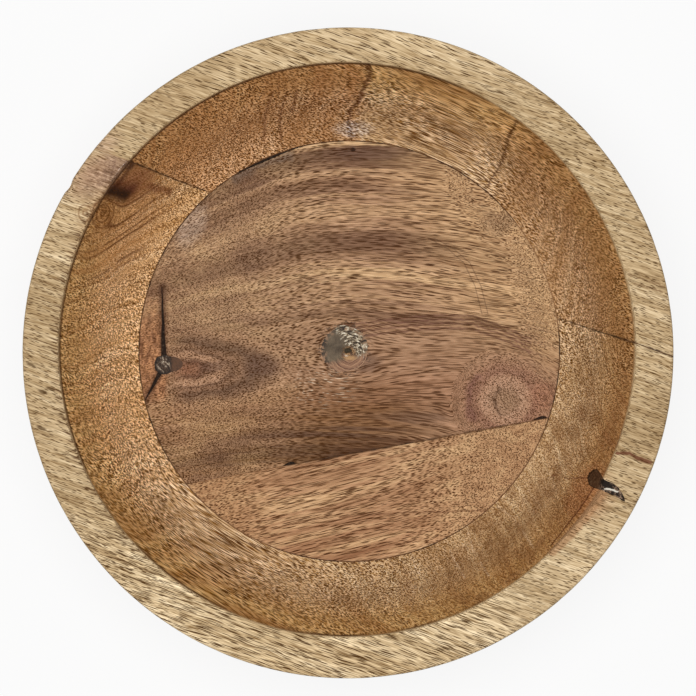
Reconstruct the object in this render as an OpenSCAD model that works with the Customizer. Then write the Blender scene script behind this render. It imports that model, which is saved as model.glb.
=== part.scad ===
// Turned wooden dough bowl. A ring of two edge-glued boards makes the wall and the flat rim.
// It is glued flat onto a floor of two more boards, and the whole is turned round.
// The origin is the centre of the underside, +Z is up, and all sizes are millimetres.

/* [Bowl] */
// Outside diameter at the rim
rim_d = 305; // [250:1:380]
// Overall height
height = 76; // [60:1:110]
// Width of the flat rim
rim_w = 18; // [14:0.5:24]
// Radius of the eased edges of the rim
rim_round = 1.5; // [0.5:0.1:3]

/* [Inside] */
// How far the wall runs out from the floor's edge to the rim
wall_run = 31; // [22:0.5:45]
// Radius of the cove at the foot of the wall
cove_r = 40; // [25:1:50]
// Angle at which the wall leaves the floor
cove_start = 32; // [15:1:45]

/* [Outside] */
// How far the outside runs out from the underside's edge to the rim
belly_run = 40; // [32:0.5:55]
// Radius of the outside curve above the foot
belly_r = 58; // [45:1:70]
// Angle at which the outside leaves the underside
belly_start = 35; // [25:1:45]

/* [Boards] */
// Thickness of the floor boards
floor_t = 14; // [10:0.5:20]
// Direction of the glue seam in the ring
ring_seam_angle = -19.8; // [-45:0.1:45]
// Distance of the ring's seam from the centre
ring_seam_offset = 50.2; // [20:0.1:80]
// Direction of the glue seam in the floor
floor_seam_angle = 10.4; // [-30:0.1:30]
// Distance of the floor's seam from the centre
floor_seam_offset = 49.7; // [35:0.1:80]

/* [Glue] */
// Thickness of every glue line
glue_t = 0.4; // [0.2:0.05:0.8]
// Width of the glue that shows at the edge of the floor
glue_lip = 0.5; // [0.2:0.1:1]

/* [Centre knot] */
// Diameter of the filled pocket round the knot
centre_pocket_d = 23; // [14:0.5:30]
// Diameter of the knot
centre_knot_d = 11; // [6:0.5:13]
// Depth of the pocket in the floor
centre_pocket_depth = 6; // [3:0.5:8]
// Place of the pocket across the floor, right of the centre
centre_pocket_x = -2.2; // [-10:0.1:10]
// Place of the pocket across the floor, up from the centre
centre_pocket_y = 1.2; // [-10:0.1:10]
// Shift of the knot from the middle of its pocket
centre_knot_shift = 3; // [0:0.1:4]
// Direction of that shift
centre_knot_turn = -40; // [-180:5:180]

/* [Left knot] */
// Diameter of the knot
left_knot_d = 9.6; // [6:0.2:14]
// Depth of the knot and of the crack filler
left_knot_depth = 5; // [2:0.5:8]
// Distance from the knot's middle to the edge of the floor
left_knot_inset = 12.4; // [8:0.2:20]
// Direction of the knot from the centre
left_knot_angle = 184; // [150:1:200]
// Length of the crack above the knot
crack_upper_l = 38; // [15:1:50]
// Lean of the upper crack from straight up
crack_upper_lean = -1.5; // [-8:0.5:8]
// Length of the crack below the knot
crack_lower_l = 19.5; // [8:0.5:20]
// Lean of the lower crack from straight down
crack_lower_lean = -24; // [-35:1:20]
// Width of the crack beside the knot
crack_w = 2.4; // [1:0.1:4]
// Width of the crack at its tips
crack_tip_w = 0.6; // [0.3:0.1:1]

/* [Rim knot] */
// Direction of the rim knot from the centre
rim_knot_angle = -26.8; // [-60:0.1:0]
// Diameter of the hollow on the wall, under the rim's inner edge
rim_knot_d = 6; // [3:0.1:9]
// Distance of the hollow's axis inside the rim's inner edge
rim_knot_inset = 2.5; // [0:0.1:4]
// Width of the crack where it crosses the rim's inner edge
rim_crack_w = 4.6; // [1:0.1:5]
// Length of the crack across the rim
rim_crack_l = 12; // [5:0.5:13]
// Depth of the filler below the rim
rim_knot_depth = 14; // [5:0.5:16]

/* [Seam gaps] */
// Length of the gap at the right end of the floor seam
end_gap_l = 6.5; // [3:0.5:12]
// Width of that gap
end_gap_w = 2.6; // [1:0.1:4]
// Distance of that gap from the edge of the floor
end_gap_inset = 1.3; // [0.5:0.1:4]
// Length of the gap in the left part of the floor seam
mid_gap_l = 6; // [3:0.5:12]
// Width of that gap
mid_gap_w = 1.2; // [0.8:0.1:2]
// Place of the middle of that gap along the seam, from the foot of the centre's perpendicular
mid_gap_x = -40; // [-60:1:60]
// Depth of the filler in both gaps
gap_depth = 3; // [1:0.5:6]

/* [Edge gap] */
// Direction of the crescent gap at the floor's edge
edge_gap_angle = 113.5; // [90:0.5:150]
// Width of the crescent in its middle
edge_gap_w = 1.1; // [0.8:0.1:3]
// Depth of the filler in the crescent
edge_gap_depth = 1.6; // [0.5:0.1:4]

/* [Hidden] */
$fn = 360;

// Steps along the cove, the belly and the eased edges
curve_steps = 12;
edge_steps = 5;

rim_r = rim_d / 2;
floor_r = rim_r - rim_w - wall_run;
foot_r = rim_r - belly_run;
ring_z = floor_t + glue_t;
reach = rim_d;

// A point on a circle
function on_circle(middle, radius, angle) = middle + radius * [cos(angle), sin(angle)];

// Points along an arc
function arc(middle, radius, from, to, steps) =
    [for (i = [0 : steps]) on_circle(middle, radius, from + (to - from) * i / steps)];

// Direction, from both middles, of the line that touches two circles on their outer side.
// A negative second radius puts the second circle on the other side of the line.
function touch_angle(a, a_radius, b, b_radius) =
    atan2(b.y - a.y, b.x - a.x) - acos((a_radius - b_radius) / norm(b - a));

// Middles of the four arcs of the wall's section
cove_mid = [floor_r, ring_z] + cove_r * [-sin(cove_start), cos(cove_start)];
inner_edge_mid = [rim_r - rim_w + rim_round, height - rim_round];
outer_edge_mid = [rim_r - rim_round, height - rim_round];
belly_mid = [foot_r, 0] + belly_r * [-sin(belly_start), cos(belly_start)];

// Directions in which the straight stretches of the wall touch those arcs
inner_touch = touch_angle(cove_mid, cove_r, inner_edge_mid, -rim_round);
outer_touch = touch_angle(belly_mid, belly_r, outer_edge_mid, rim_round);

// Place on the belly arc at a height
function belly_angle(z) = -asin((belly_mid.y - z) / belly_r);
function belly_radius(z) = on_circle(belly_mid, belly_r, belly_angle(z)).x;

ring_section = concat(
    arc(cove_mid, cove_r, cove_start - 90, inner_touch, curve_steps),
    arc(inner_edge_mid, rim_round, inner_touch + 180, 90, edge_steps),
    arc(outer_edge_mid, rim_round, 90, outer_touch, edge_steps),
    arc(belly_mid, belly_r, outer_touch, belly_angle(ring_z), curve_steps)
);

floor_section = concat(
    [[0, 0]],
    arc(belly_mid, belly_r, belly_start - 90, belly_angle(floor_t), curve_steps),
    [[0, floor_t]]
);

glue_section = [
    [floor_r - glue_lip, floor_t],
    [belly_radius(floor_t), floor_t],
    [belly_radius(ring_z), ring_z],
    [floor_r - glue_lip, ring_z]
];

// The ring before its seam is cut
module ring_blank() {
    rotate_extrude()
        polygon(ring_section);
}

// The floor before its seam is cut
module floor_blank() {
    rotate_extrude()
        polygon(floor_section);
}

// Everything from one distance to another on the far side of a seam's direction
module beside_seam(angle, from, to) {
    rotate([0, 0, angle])
        translate([-reach, from, -1])
            cube([2 * reach, to - from, height + 2]);
}

// A plan shape sunk to a depth below the floor's top
module sunk_in_floor(depth) {
    translate([0, 0, floor_t - depth])
        linear_extrude(depth)
            children();
}

// Places in the floor
left_knot_at = on_circle([0, 0], floor_r - left_knot_inset, left_knot_angle);
centre_pocket_at = [centre_pocket_x, centre_pocket_y];
centre_knot_at = on_circle(centre_pocket_at, centre_knot_shift, centre_knot_turn);
open_floor_r = floor_r - glue_lip;
seam_half_l = sqrt(open_floor_r ^ 2 - (floor_seam_offset - glue_t / 2) ^ 2);
end_gap_x = seam_half_l - end_gap_inset;

module centre_pocket_plan() {
    translate(centre_pocket_at)
        circle(d = centre_pocket_d);
}

module centre_knot_plan() {
    translate(centre_knot_at)
        circle(d = centre_knot_d);
}

module left_knot_plan() {
    translate(left_knot_at)
        circle(d = left_knot_d);
}

// One arm of the crack, tapering from the knot's middle to its tip
module crack_arm_plan(length, lean, up) {
    translate(left_knot_at)
        rotate(up ? -lean : 180 + lean)
            polygon([
                [-crack_w / 2, 0],
                [crack_w / 2, 0],
                [crack_tip_w / 2, length],
                [-crack_tip_w / 2, length]
            ]);
}

// Both arms, kept on the open floor
module crack_plan() {
    intersection() {
        union() {
            crack_arm_plan(crack_upper_l, crack_upper_lean, true);
            crack_arm_plan(crack_lower_l, crack_lower_lean, false);
        }
        circle(open_floor_r);
    }
}

// The two gaps above the seam, against the glue line
module seam_gaps_plan() {
    rotate(floor_seam_angle)
        translate([0, glue_t / 2 - floor_seam_offset]) {
            polygon([
                [end_gap_x - end_gap_l, 0],
                [end_gap_x, 0],
                [end_gap_x, end_gap_w]
            ]);
            polygon([
                [mid_gap_x - mid_gap_l / 2, 0],
                [mid_gap_x + mid_gap_l / 2, 0],
                [mid_gap_x + mid_gap_l / 4, mid_gap_w]
            ]);
        }
}

// The crescent between the floor's edge and a chord
module edge_gap_plan() {
    intersection() {
        circle(open_floor_r);
        rotate(edge_gap_angle)
            translate([open_floor_r - edge_gap_w, -open_floor_r])
                square([open_floor_r, 2 * open_floor_r]);
    }
}

// The hollow on the wall and the crack that tapers away across the rim
module rim_knot_body() {
    inner_r = rim_r - rim_w;
    hollow_r = inner_r - rim_knot_inset;
    translate([0, 0, height - rim_knot_depth])
        linear_extrude(rim_knot_depth + 1)
            rotate(rim_knot_angle) {
                translate([hollow_r, 0])
                    circle(d = rim_knot_d);
                polygon([
                    [hollow_r, -rim_crack_w / 2],
                    [inner_r + rim_crack_l, 0],
                    [hollow_r, rim_crack_w / 2]
                ]);
            }
}

module ring_board_lower() {
    color("burlywood")
        difference() {
            intersection() {
                ring_blank();
                beside_seam(ring_seam_angle, -reach, ring_seam_offset - glue_t / 2);
            }
            rim_knot_body();
        }
}

module ring_board_upper() {
    color("tan")
        intersection() {
            ring_blank();
            beside_seam(ring_seam_angle, ring_seam_offset + glue_t / 2, reach);
        }
}

module floor_board_dark() {
    color("saddlebrown")
        difference() {
            intersection() {
                floor_blank();
                beside_seam(floor_seam_angle, glue_t / 2 - floor_seam_offset, reach);
            }
            sunk_in_floor(centre_pocket_depth)
                centre_pocket_plan();
            sunk_in_floor(left_knot_depth)
                union() {
                    left_knot_plan();
                    crack_plan();
                }
            sunk_in_floor(gap_depth)
                seam_gaps_plan();
            sunk_in_floor(edge_gap_depth)
                edge_gap_plan();
        }
}

module floor_board_light() {
    color("peru")
        intersection() {
            floor_blank();
            beside_seam(floor_seam_angle, -reach, -glue_t / 2 - floor_seam_offset);
        }
}

module ring_seam_glue() {
    color("sienna")
        intersection() {
            ring_blank();
            beside_seam(ring_seam_angle, ring_seam_offset - glue_t / 2, ring_seam_offset + glue_t / 2);
        }
}

module floor_seam_glue() {
    color("sienna")
        intersection() {
            floor_blank();
            beside_seam(floor_seam_angle, -glue_t / 2 - floor_seam_offset, glue_t / 2 - floor_seam_offset);
        }
}

module ring_to_floor_glue() {
    color("sienna")
        rotate_extrude()
            polygon(glue_section);
}

module centre_knot() {
    color("chocolate")
        sunk_in_floor(centre_pocket_depth)
            centre_knot_plan();
}

module centre_knot_filler() {
    color("dimgray")
        sunk_in_floor(centre_pocket_depth)
            difference() {
                centre_pocket_plan();
                centre_knot_plan();
            }
}

module left_knot() {
    color("black")
        sunk_in_floor(left_knot_depth)
            left_knot_plan();
}

module left_crack_filler() {
    color("black")
        sunk_in_floor(left_knot_depth)
            difference() {
                crack_plan();
                left_knot_plan();
            }
}

module rim_knot_filler() {
    color("black")
        intersection() {
            ring_blank();
            rim_knot_body();
        }
}

module seam_gap_filler() {
    color("black")
        sunk_in_floor(gap_depth)
            seam_gaps_plan();
}

module edge_gap_filler() {
    color("black")
        sunk_in_floor(edge_gap_depth)
            edge_gap_plan();
}

ring_board_lower();
ring_board_upper();
floor_board_dark();
floor_board_light();
ring_seam_glue();
floor_seam_glue();
ring_to_floor_glue();
centre_knot();
centre_knot_filler();
left_knot();
left_crack_filler();
rim_knot_filler();
seam_gap_filler();
edge_gap_filler();
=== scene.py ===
import math
from types import SimpleNamespace

import bmesh
import bpy
import numpy as np
from mathutils import Matrix, Vector, noise


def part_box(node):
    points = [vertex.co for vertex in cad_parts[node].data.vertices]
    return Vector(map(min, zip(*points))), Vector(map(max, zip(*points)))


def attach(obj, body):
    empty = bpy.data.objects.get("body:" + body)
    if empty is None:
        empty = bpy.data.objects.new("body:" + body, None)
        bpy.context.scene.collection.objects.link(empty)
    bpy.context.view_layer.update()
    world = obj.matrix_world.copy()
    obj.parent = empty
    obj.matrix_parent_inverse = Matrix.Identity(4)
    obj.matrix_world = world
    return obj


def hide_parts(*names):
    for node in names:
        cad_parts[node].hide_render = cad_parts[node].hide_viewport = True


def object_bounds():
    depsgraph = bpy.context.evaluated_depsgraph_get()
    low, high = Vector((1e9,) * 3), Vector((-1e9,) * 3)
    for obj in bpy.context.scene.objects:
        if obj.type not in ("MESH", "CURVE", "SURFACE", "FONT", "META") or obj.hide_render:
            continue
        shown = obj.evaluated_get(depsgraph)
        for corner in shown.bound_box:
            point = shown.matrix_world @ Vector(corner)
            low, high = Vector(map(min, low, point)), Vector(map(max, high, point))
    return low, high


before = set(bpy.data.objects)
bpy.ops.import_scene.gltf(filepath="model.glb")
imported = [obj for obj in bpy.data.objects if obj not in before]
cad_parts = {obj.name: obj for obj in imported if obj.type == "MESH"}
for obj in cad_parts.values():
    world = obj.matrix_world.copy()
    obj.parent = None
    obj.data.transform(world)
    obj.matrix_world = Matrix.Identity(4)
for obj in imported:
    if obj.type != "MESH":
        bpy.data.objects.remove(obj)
cad_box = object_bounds()

# Sizes in millimetres, as in the CAD part
MM = 0.001
RIM_R = min(cad_box[1][0], cad_box[1][1], -cad_box[0][0], -cad_box[0][1]) / MM
HEIGHT = cad_box[1][2] / MM
FLOOR_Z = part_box("floor_board_dark")[1].z / MM
RIM_W = 18.0
RIM_ROUND = 1.5
WALL_RUN = 31.0
COVE_R = 40.0
COVE_START = 32.0
BELLY_RUN = 40.0
BELLY_R = 58.0
BELLY_START = 35.0
GLUE_T = 0.4
GLUE_LIP = 0.5
RING_SEAM_ANGLE = -19.8
RING_SEAM_OFFSET = 50.2
FLOOR_SEAM_ANGLE = 10.4
FLOOR_SEAM_OFFSET = -49.7
INNER_RIM_R = RIM_R - RIM_W
FLOOR_R = INNER_RIM_R - WALL_RUN
OPEN_FLOOR_R = FLOOR_R - GLUE_LIP
FOOT_R = RIM_R - BELLY_RUN
RING_Z = FLOOR_Z + GLUE_T

# Spacing of the mesh points
WALL_STEP = 1.2
EDGE_STEP = 0.3
OUTSIDE_STEP = 1.6
FLOOR_STEP = 1.5
TURN_STEPS = 720
# Clearance between a filler and its pocket, and between glue and its boards
FIT = 0.03
GLUE_FIT = 0.01
# How far a cutting tool stands out above and below the bowl
SLAB_PAST = 10.0

# The photograph's frame in pixels, and the camera that took it
PHOTO_PX = 696
FOCAL_PX = 2715.0
CAMERA_AT = Vector((15.7, 21.0, HEIGHT + 1270.0))
CAMERA_AIM = Vector((0.23, 2.57, HEIGHT))
SENSOR_MM = 36.0

# The inside is turned a little off the outside's centre, most of all at the rim
INSIDE_SHIFT = Vector((-0.94, 1.64, 0.0))


# Plane geometry

def on_circle(middle, radius, degrees):
    """Point on a circle in a plane."""
    turn = math.radians(degrees)
    return (middle[0] + radius * math.cos(turn), middle[1] + radius * math.sin(turn))


def arc(middle, radius, start, end, spacing):
    """Points along an arc, both ends included."""
    steps = max(2, math.ceil(abs(math.radians(end - start)) * radius / spacing))
    return [on_circle(middle, radius, start + (end - start) * i / steps) for i in range(steps + 1)]


def touch_angle(a, a_radius, b, b_radius):
    """Direction, from both middles, of the line that touches two circles."""
    run = math.dist(a, b)
    lean = math.degrees(math.atan2(b[1] - a[1], b[0] - a[0]))
    return lean - math.degrees(math.acos((a_radius - b_radius) / run))


def link_up(stretches, spacing):
    """One outline from several stretches, with points along the straight links between them."""
    outline = []
    for stretch in stretches:
        if outline:
            outline += between(outline[-1], stretch[0], spacing)
        outline += stretch
    return outline


def between(a, b, spacing):
    """Points strictly between two points."""
    steps = math.ceil(math.dist(a, b) / spacing)
    return [tuple(p + (q - p) * i / steps for p, q in zip(a, b)) for i in range(1, steps)]


def smooth(share):
    """Eases from 0 to 1."""
    share = min(1.0, max(0.0, share))
    return share * share * (3 - 2 * share)


def hill(distance, reach):
    """1 in the middle, falling to 0 at the reach."""
    return 1 - smooth(abs(distance) / reach)


def turn_gap(a, b):
    """Smallest difference of two directions in degrees."""
    return (a - b + 180) % 360 - 180


# Section of the bowl

COVE_MID = (
    FLOOR_R - COVE_R * math.sin(math.radians(COVE_START)),
    RING_Z + COVE_R * math.cos(math.radians(COVE_START)),
)
BELLY_MID = (
    FOOT_R - BELLY_R * math.sin(math.radians(BELLY_START)),
    BELLY_R * math.cos(math.radians(BELLY_START)),
)
INNER_EDGE_MID = (INNER_RIM_R + RIM_ROUND, HEIGHT - RIM_ROUND)
OUTER_EDGE_MID = (RIM_R - RIM_ROUND, HEIGHT - RIM_ROUND)
INNER_TOUCH = touch_angle(COVE_MID, COVE_R, INNER_EDGE_MID, -RIM_ROUND)
OUTER_TOUCH = touch_angle(BELLY_MID, BELLY_R, OUTER_EDGE_MID, RIM_ROUND)


def belly_angle(z):
    """Direction, on the belly's arc, of the point at a height."""
    return -math.degrees(math.asin((BELLY_MID[1] - z) / BELLY_R))


def inside_outline(inset):
    """The wall's inside, from the floor up to the rim."""
    cove = arc(COVE_MID, COVE_R + inset, COVE_START - 90, INNER_TOUCH, WALL_STEP)
    edge = arc(INNER_EDGE_MID, RIM_ROUND - inset, INNER_TOUCH + 180, 90, EDGE_STEP)
    return link_up([cove, edge], WALL_STEP)


def outside_outline(inset):
    """The wall's outside, from the rim down to the floor boards."""
    edge = arc(OUTER_EDGE_MID, RIM_ROUND - inset, 90, OUTER_TOUCH, EDGE_STEP)
    belly = arc(BELLY_MID, BELLY_R - inset, OUTER_TOUCH, belly_angle(RING_Z), OUTSIDE_STEP)
    return link_up([edge, belly], OUTSIDE_STEP)


def ring_outline(inset=0.0):
    """The whole section of the ring, closed by its underside."""
    outline = link_up([inside_outline(inset), outside_outline(inset)], WALL_STEP)
    return outline + between(outline[-1], outline[0], OUTSIDE_STEP * 2)


def floor_outline():
    """The section of the floor boards, from the middle of the top round to the middle of the underside."""
    belly = arc(BELLY_MID, BELLY_R, belly_angle(FLOOR_Z), BELLY_START - 90, OUTSIDE_STEP)
    hub = FLOOR_STEP / 2
    return link_up([[(hub, FLOOR_Z)], belly, [(hub, 0.0)]], FLOOR_STEP)


INSIDE = inside_outline(0.0)
OUTSIDE = outside_outline(0.0)[::-1]


def inside_radius(z):
    """Radius of the wall's inside at a height."""
    return float(np.interp(z, [p[1] for p in INSIDE], [p[0] for p in INSIDE]))


def outside_radius(z):
    """Radius of the wall's outside at a height."""
    return float(np.interp(z, [p[1] for p in OUTSIDE], [p[0] for p in OUTSIDE]))


# The camera's view of a pixel

def camera_turn():
    """The camera's rotation, with the photograph's top towards +Y."""
    back = (CAMERA_AT - CAMERA_AIM).normalized()
    right = Vector((0, 1, 0)).cross(back).normalized()
    return Matrix((right, back.cross(right), back)).transposed()


CAMERA_TURN = camera_turn()


def seen_at(pixel, z):
    """The point at a height that the photograph shows at a pixel."""
    middle = PHOTO_PX / 2
    ray = CAMERA_TURN @ Vector(((pixel[0] - middle) / FOCAL_PX, (middle - pixel[1]) / FOCAL_PX, -1))
    return CAMERA_AT + ray * ((z - CAMERA_AT.z) / ray.z)


def on_floor(pixel):
    """The point of the bowl's floor at a pixel."""
    return seen_at(pixel, FLOOR_Z)


def on_rim(pixel):
    """The point of the rim's top at a pixel."""
    return seen_at(pixel, HEIGHT)


HALVINGS = 24


def on_wall(pixel):
    """The point of the wall's inside at a pixel."""
    low = RING_Z
    high = HEIGHT
    for _ in range(HALVINGS):
        z = (low + high) / 2
        point = seen_at(pixel, z) - inside_shift(z)
        if point.xy.length > inside_radius(z):
            low = z
        else:
            high = z
    return seen_at(pixel, z)


def inside_shift(z):
    """How far the inside is off the outside's centre at a height."""
    return INSIDE_SHIFT * smooth((z - RING_Z) / (HEIGHT - RING_Z))


# Meshes

def new_piece(name, data):
    """An object in the scene that holds a mesh, a lamp or a camera."""
    piece = bpy.data.objects.new(name, data)
    bpy.context.scene.collection.objects.link(piece)
    return piece


def solid(name, points, faces):
    """An object from points in millimetres, with its faces turned outwards."""
    mesh = bpy.data.meshes.new(name)
    mesh.from_pydata([Vector(p) * MM for p in points], [], faces)
    shape = bmesh.new()
    shape.from_mesh(mesh)
    bmesh.ops.recalc_face_normals(shape, faces=shape.faces)
    shape.to_mesh(mesh)
    shape.free()
    return new_piece(name, mesh)


def loft(name, loops, closed=False):
    """A closed mesh through loops of points. An open row of loops gets a cap at each end."""
    count = len(loops[0])
    points = [p for loop in loops for p in loop]
    faces = []
    for row in range(len(loops) if closed else len(loops) - 1):
        here = row * count
        there = (row + 1) % len(loops) * count
        for i in range(count):
            j = (i + 1) % count
            faces.append((here + i, here + j, there + j, there + i))
    if not closed:
        faces.append(tuple(range(count)))
        faces.append(tuple(range(len(points) - count, len(points))))
    return solid(name, points, faces)


def prism(name, outline, low, high):
    """An upright body with a plan outline."""
    return loft(name, [[(x, y, z) for x, y in outline] for z in (low, high)])


def slab(name, angle, start, end):
    """Everything between two lines across the plan, at every height."""
    reach = 2 * RIM_R
    along = Vector(on_circle((0, 0), reach, angle))
    across = Vector(on_circle((0, 0), 1.0, angle + 90))
    corners = [across * start - along, across * start + along, across * end + along, across * end - along]
    return prism(name, corners, -SLAB_PAST, HEIGHT + SLAB_PAST)


def cut(piece, tool, operation):
    """Changes a piece by a second closed mesh, which is then deleted."""
    change = piece.modifiers.new("cut", "BOOLEAN")
    change.operation = operation
    change.solver = "MANIFOLD"
    change.object = tool
    bpy.context.view_layer.update()
    graph = bpy.context.evaluated_depsgraph_get()
    mesh = bpy.data.meshes.new_from_object(piece.evaluated_get(graph))
    piece.modifiers.clear()
    old = piece.data
    piece.data = mesh
    bpy.data.meshes.remove(old)
    bpy.data.objects.remove(tool)
    return piece


def copy_of(piece, name):
    """A second object with a mesh of its own."""
    return new_piece(name, piece.data.copy())


SHARP_ANGLE = 32.0


def ease(piece):
    """Smooth shading, with edges kept where faces meet at a sharp angle."""
    piece.data.shade_smooth()
    piece.data.set_sharp_from_angle(angle=math.radians(SHARP_ANGLE))


def rough(x, y, size, seed):
    """Smooth random value from -1 to 1 with features of a size."""
    return noise.noise(Vector((x / size + seed, y / size - seed, 2 * seed)))


# Wear of the ring

SOFT_EDGE_MID = 5.0
SOFT_EDGE_REACH = 34.0
SOFT_EDGE_DEPTH = 1.0
BEVEL_START = -29.0
BEVEL_END = -44.0
BEVEL_DEPTH = 1.7
BEVEL_FADE = 2.5
NOTCH_ANGLE = 149.0
NOTCH_REACH = 1.6
NOTCH_DEPTH = 1.3
EDGE_REACH = 5.0
NICK_DEPTH = 0.22
NICK_SIZE = 9.0
# Share of the wear that goes sideways and down, and the slight waves of the rim's top
WEAR_SHARE = 0.7
TOP_SINK = 0.06
TOP_WAVE = 14.0
ON_TOP = 0.01


def bevel_at(angle):
    """Depth of the worn bevel below the rim knot, deepest beside the knot."""
    share = (angle - BEVEL_END) / (BEVEL_START - BEVEL_END)
    if share < 0:
        return 0.0
    return BEVEL_DEPTH * smooth(share) * smooth((BEVEL_START + BEVEL_FADE - angle) / BEVEL_FADE)


def inner_wear(angle):
    """How deep the rim's inner edge is rounded off in a direction."""
    soft = SOFT_EDGE_DEPTH * hill(turn_gap(angle, SOFT_EDGE_MID), SOFT_EDGE_REACH)
    return soft + bevel_at(turn_gap(angle, 0))


def outer_wear(angle):
    """How deep the rim's outer edge is worn in a direction."""
    x, y = on_circle((0, 0), RIM_R, angle)
    nicks = max(0.0, rough(x, y, NICK_SIZE, 3.0)) * NICK_DEPTH
    return nicks + NOTCH_DEPTH * hill(turn_gap(angle, NOTCH_ANGLE), NOTCH_REACH)


def ring_point(radius, z, angle, inner_depth, outer_depth):
    """A point of the ring, with the off-centre inside and the worn edges."""
    inner = inside_radius(z)
    outer = outside_radius(z)
    share = smooth((outer - radius) / max(1.0, outer - inner))
    near_inner = 1 - smooth(math.hypot(radius - INNER_RIM_R, z - HEIGHT) / EDGE_REACH)
    near_outer = 1 - smooth(math.hypot(radius - RIM_R, z - HEIGHT) / EDGE_REACH)
    wear = WEAR_SHARE * inner_depth * near_inner
    chip = WEAR_SHARE * outer_depth * near_outer
    x, y = on_circle((0, 0), radius + wear - chip, angle)
    shift = inside_shift(z) * share
    sink = 0.0
    if z > HEIGHT - ON_TOP:
        sink = TOP_SINK * (1 + rough(x, y, TOP_WAVE, 1.0))
    return (x + shift.x, y + shift.y, z - wear - chip - sink)


def ring_blank(name, inset=0.0):
    """The whole ring before its boards are parted."""
    outline = ring_outline(inset)
    loops = []
    for step in range(TURN_STEPS):
        angle = 360.0 * step / TURN_STEPS
        inner_depth = inner_wear(angle)
        outer_depth = outer_wear(angle)
        loops.append([ring_point(r, z, angle, inner_depth, outer_depth) for r, z in outline])
    return loft(name, loops, closed=True)


def floor_blank(name):
    """The whole floor before its boards are parted."""
    loops = []
    for radius, z in floor_outline():
        loops.append([(*on_circle((0, 0), radius, 360.0 * i / TURN_STEPS), z) for i in range(TURN_STEPS)])
    return loft(name, loops)


# Pockets, knots and fillers

CENTRE_POCKET_AT = (-2.2, 1.2)
CENTRE_POCKET_R = 11.5
CENTRE_POCKET_DEPTH = 6.0
CENTRE_KNOT_R = 5.5
# How much of their radius the edges of knots and pocket waver by
POCKET_WAVER = 0.09
CENTRE_KNOT_WAVER = 0.16
LEFT_KNOT_WAVER = 0.22
CENTRE_KNOT_AT = on_circle(CENTRE_POCKET_AT, 3.0, -40.0)
LEFT_KNOT_AT = on_circle((0, 0), FLOOR_R - 12.4, 184.0)
LEFT_KNOT_R = 4.8
LEFT_KNOT_DEPTH = 5.0
LEFT_KNOT_TAIL = 4.6
TAIL_ANGLE = 2.0
TAIL_SPREAD = 34.0
# How far a crack's pocket reaches into the knot, and the gap between the knot and the crack's filler
CRACK_OVERLAP = 2.0
CRACK_GAP = 0.1
CRACK_UPPER = (38.0, 91.5)
CRACK_LOWER = (20.5, -117.5)
CRACK_W = 2.7
CRACK_TIP_W = 0.4
RIM_KNOT_DEPTH = 18.0
RIM_KNOT_RISE = 0.5
GAP_DEPTH = 3.0
EDGE_GAP_ANGLE = 113.5
EDGE_GAP_SPREAD = 9.5
EDGE_GAP_W = 1.0
EDGE_GAP_DEPTH = 1.6
TOOL_LIFT = 2.0
# Points round a knot, and rows of points across the tops of knots and fillers
ROUND_STEPS = 144
PLUG_RINGS = 14
PLUG_HUB = 0.02
COLLAR_ROWS = 16
RIBBON_ROWS = 6


def wavy_round(middle, radius, waver, size, seed, swell=None):
    """A round outline with a wavering edge, and swelled by a function of the direction."""
    outline = []
    for i in range(ROUND_STEPS):
        angle = 360.0 * i / ROUND_STEPS
        x, y = on_circle(middle, radius, angle)
        reach = radius * (1 + waver * rough(x, y, size, seed))
        if swell:
            reach += swell(angle)
        outline.append(on_circle(middle, reach, angle))
    return outline


def shrunk(outline, middle, amount):
    """An outline drawn in towards a middle by an amount."""
    result = []
    for point in outline:
        reach = math.dist(point, middle)
        share = (reach - amount) / reach
        result.append(tuple(m + (p - m) * share for m, p in zip(middle, point)))
    return result


def plug(name, outline, middle, top, bottom):
    """A body that fills an outline, with a top given by a function of place and share of the way out."""
    loops = []
    for ring in range(PLUG_RINGS + 1):
        share = max(PLUG_HUB, ring / PLUG_RINGS)
        loop = []
        for x, y in outline:
            px = middle[0] + (x - middle[0]) * share
            py = middle[1] + (y - middle[1]) * share
            loop.append((px, py, top(px, py, share)))
        loops.append(loop)
    loops.append([(x, y, bottom) for x, y in outline])
    return loft(name, loops)


def strip(name, starts, ends, top, bottom, rows, closed):
    """A body between two lines of points, with a top given by a function of place and share across."""
    loops = []
    for start, end in zip(starts, ends):
        loop = []
        for row in range(rows + 1):
            share = row / rows
            x = start[0] + (end[0] - start[0]) * share
            y = start[1] + (end[1] - start[1]) * share
            loop.append((x, y, top(x, y, share)))
        loops.append(loop + [(*end, bottom), (*start, bottom)])
    return loft(name, loops, closed)


def ribbon_outline(path, widths):
    """The two sides of a ribbon along a path."""
    left = []
    right = []
    for i, (x, y) in enumerate(path):
        before = path[max(0, i - 1)]
        after = path[min(len(path) - 1, i + 1)]
        run = math.dist(before, after)
        across = (-(after[1] - before[1]) / run, (after[0] - before[0]) / run)
        half = widths[i] / 2
        left.append((x + across[0] * half, y + across[1] * half))
        right.append((x - across[0] * half, y - across[1] * half))
    return left, right


def ribbon(name, path, widths, top, bottom):
    """A thin body along a path, with a top as a strip has."""
    left, right = ribbon_outline(path, widths)
    return strip(name, left, right, top, bottom, RIBBON_ROWS, False)


def ribbon_tool(path, widths, depth):
    """The pocket of a ribbon that lies in the floor."""
    left, right = ribbon_outline(path, [w + 2 * FIT for w in widths])
    return prism("tool", left + right[::-1], FLOOR_Z - depth, FLOOR_Z + TOOL_LIFT)


def centre_pocket_outline():
    """The wavering edge of the pocket round the centre knot."""
    return wavy_round(CENTRE_POCKET_AT, CENTRE_POCKET_R, POCKET_WAVER, 7.0, 4.0)


def centre_knot_outline():
    """The edge of the centre knot."""
    return wavy_round(CENTRE_KNOT_AT, CENTRE_KNOT_R, CENTRE_KNOT_WAVER, 4.0, 8.0)


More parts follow.
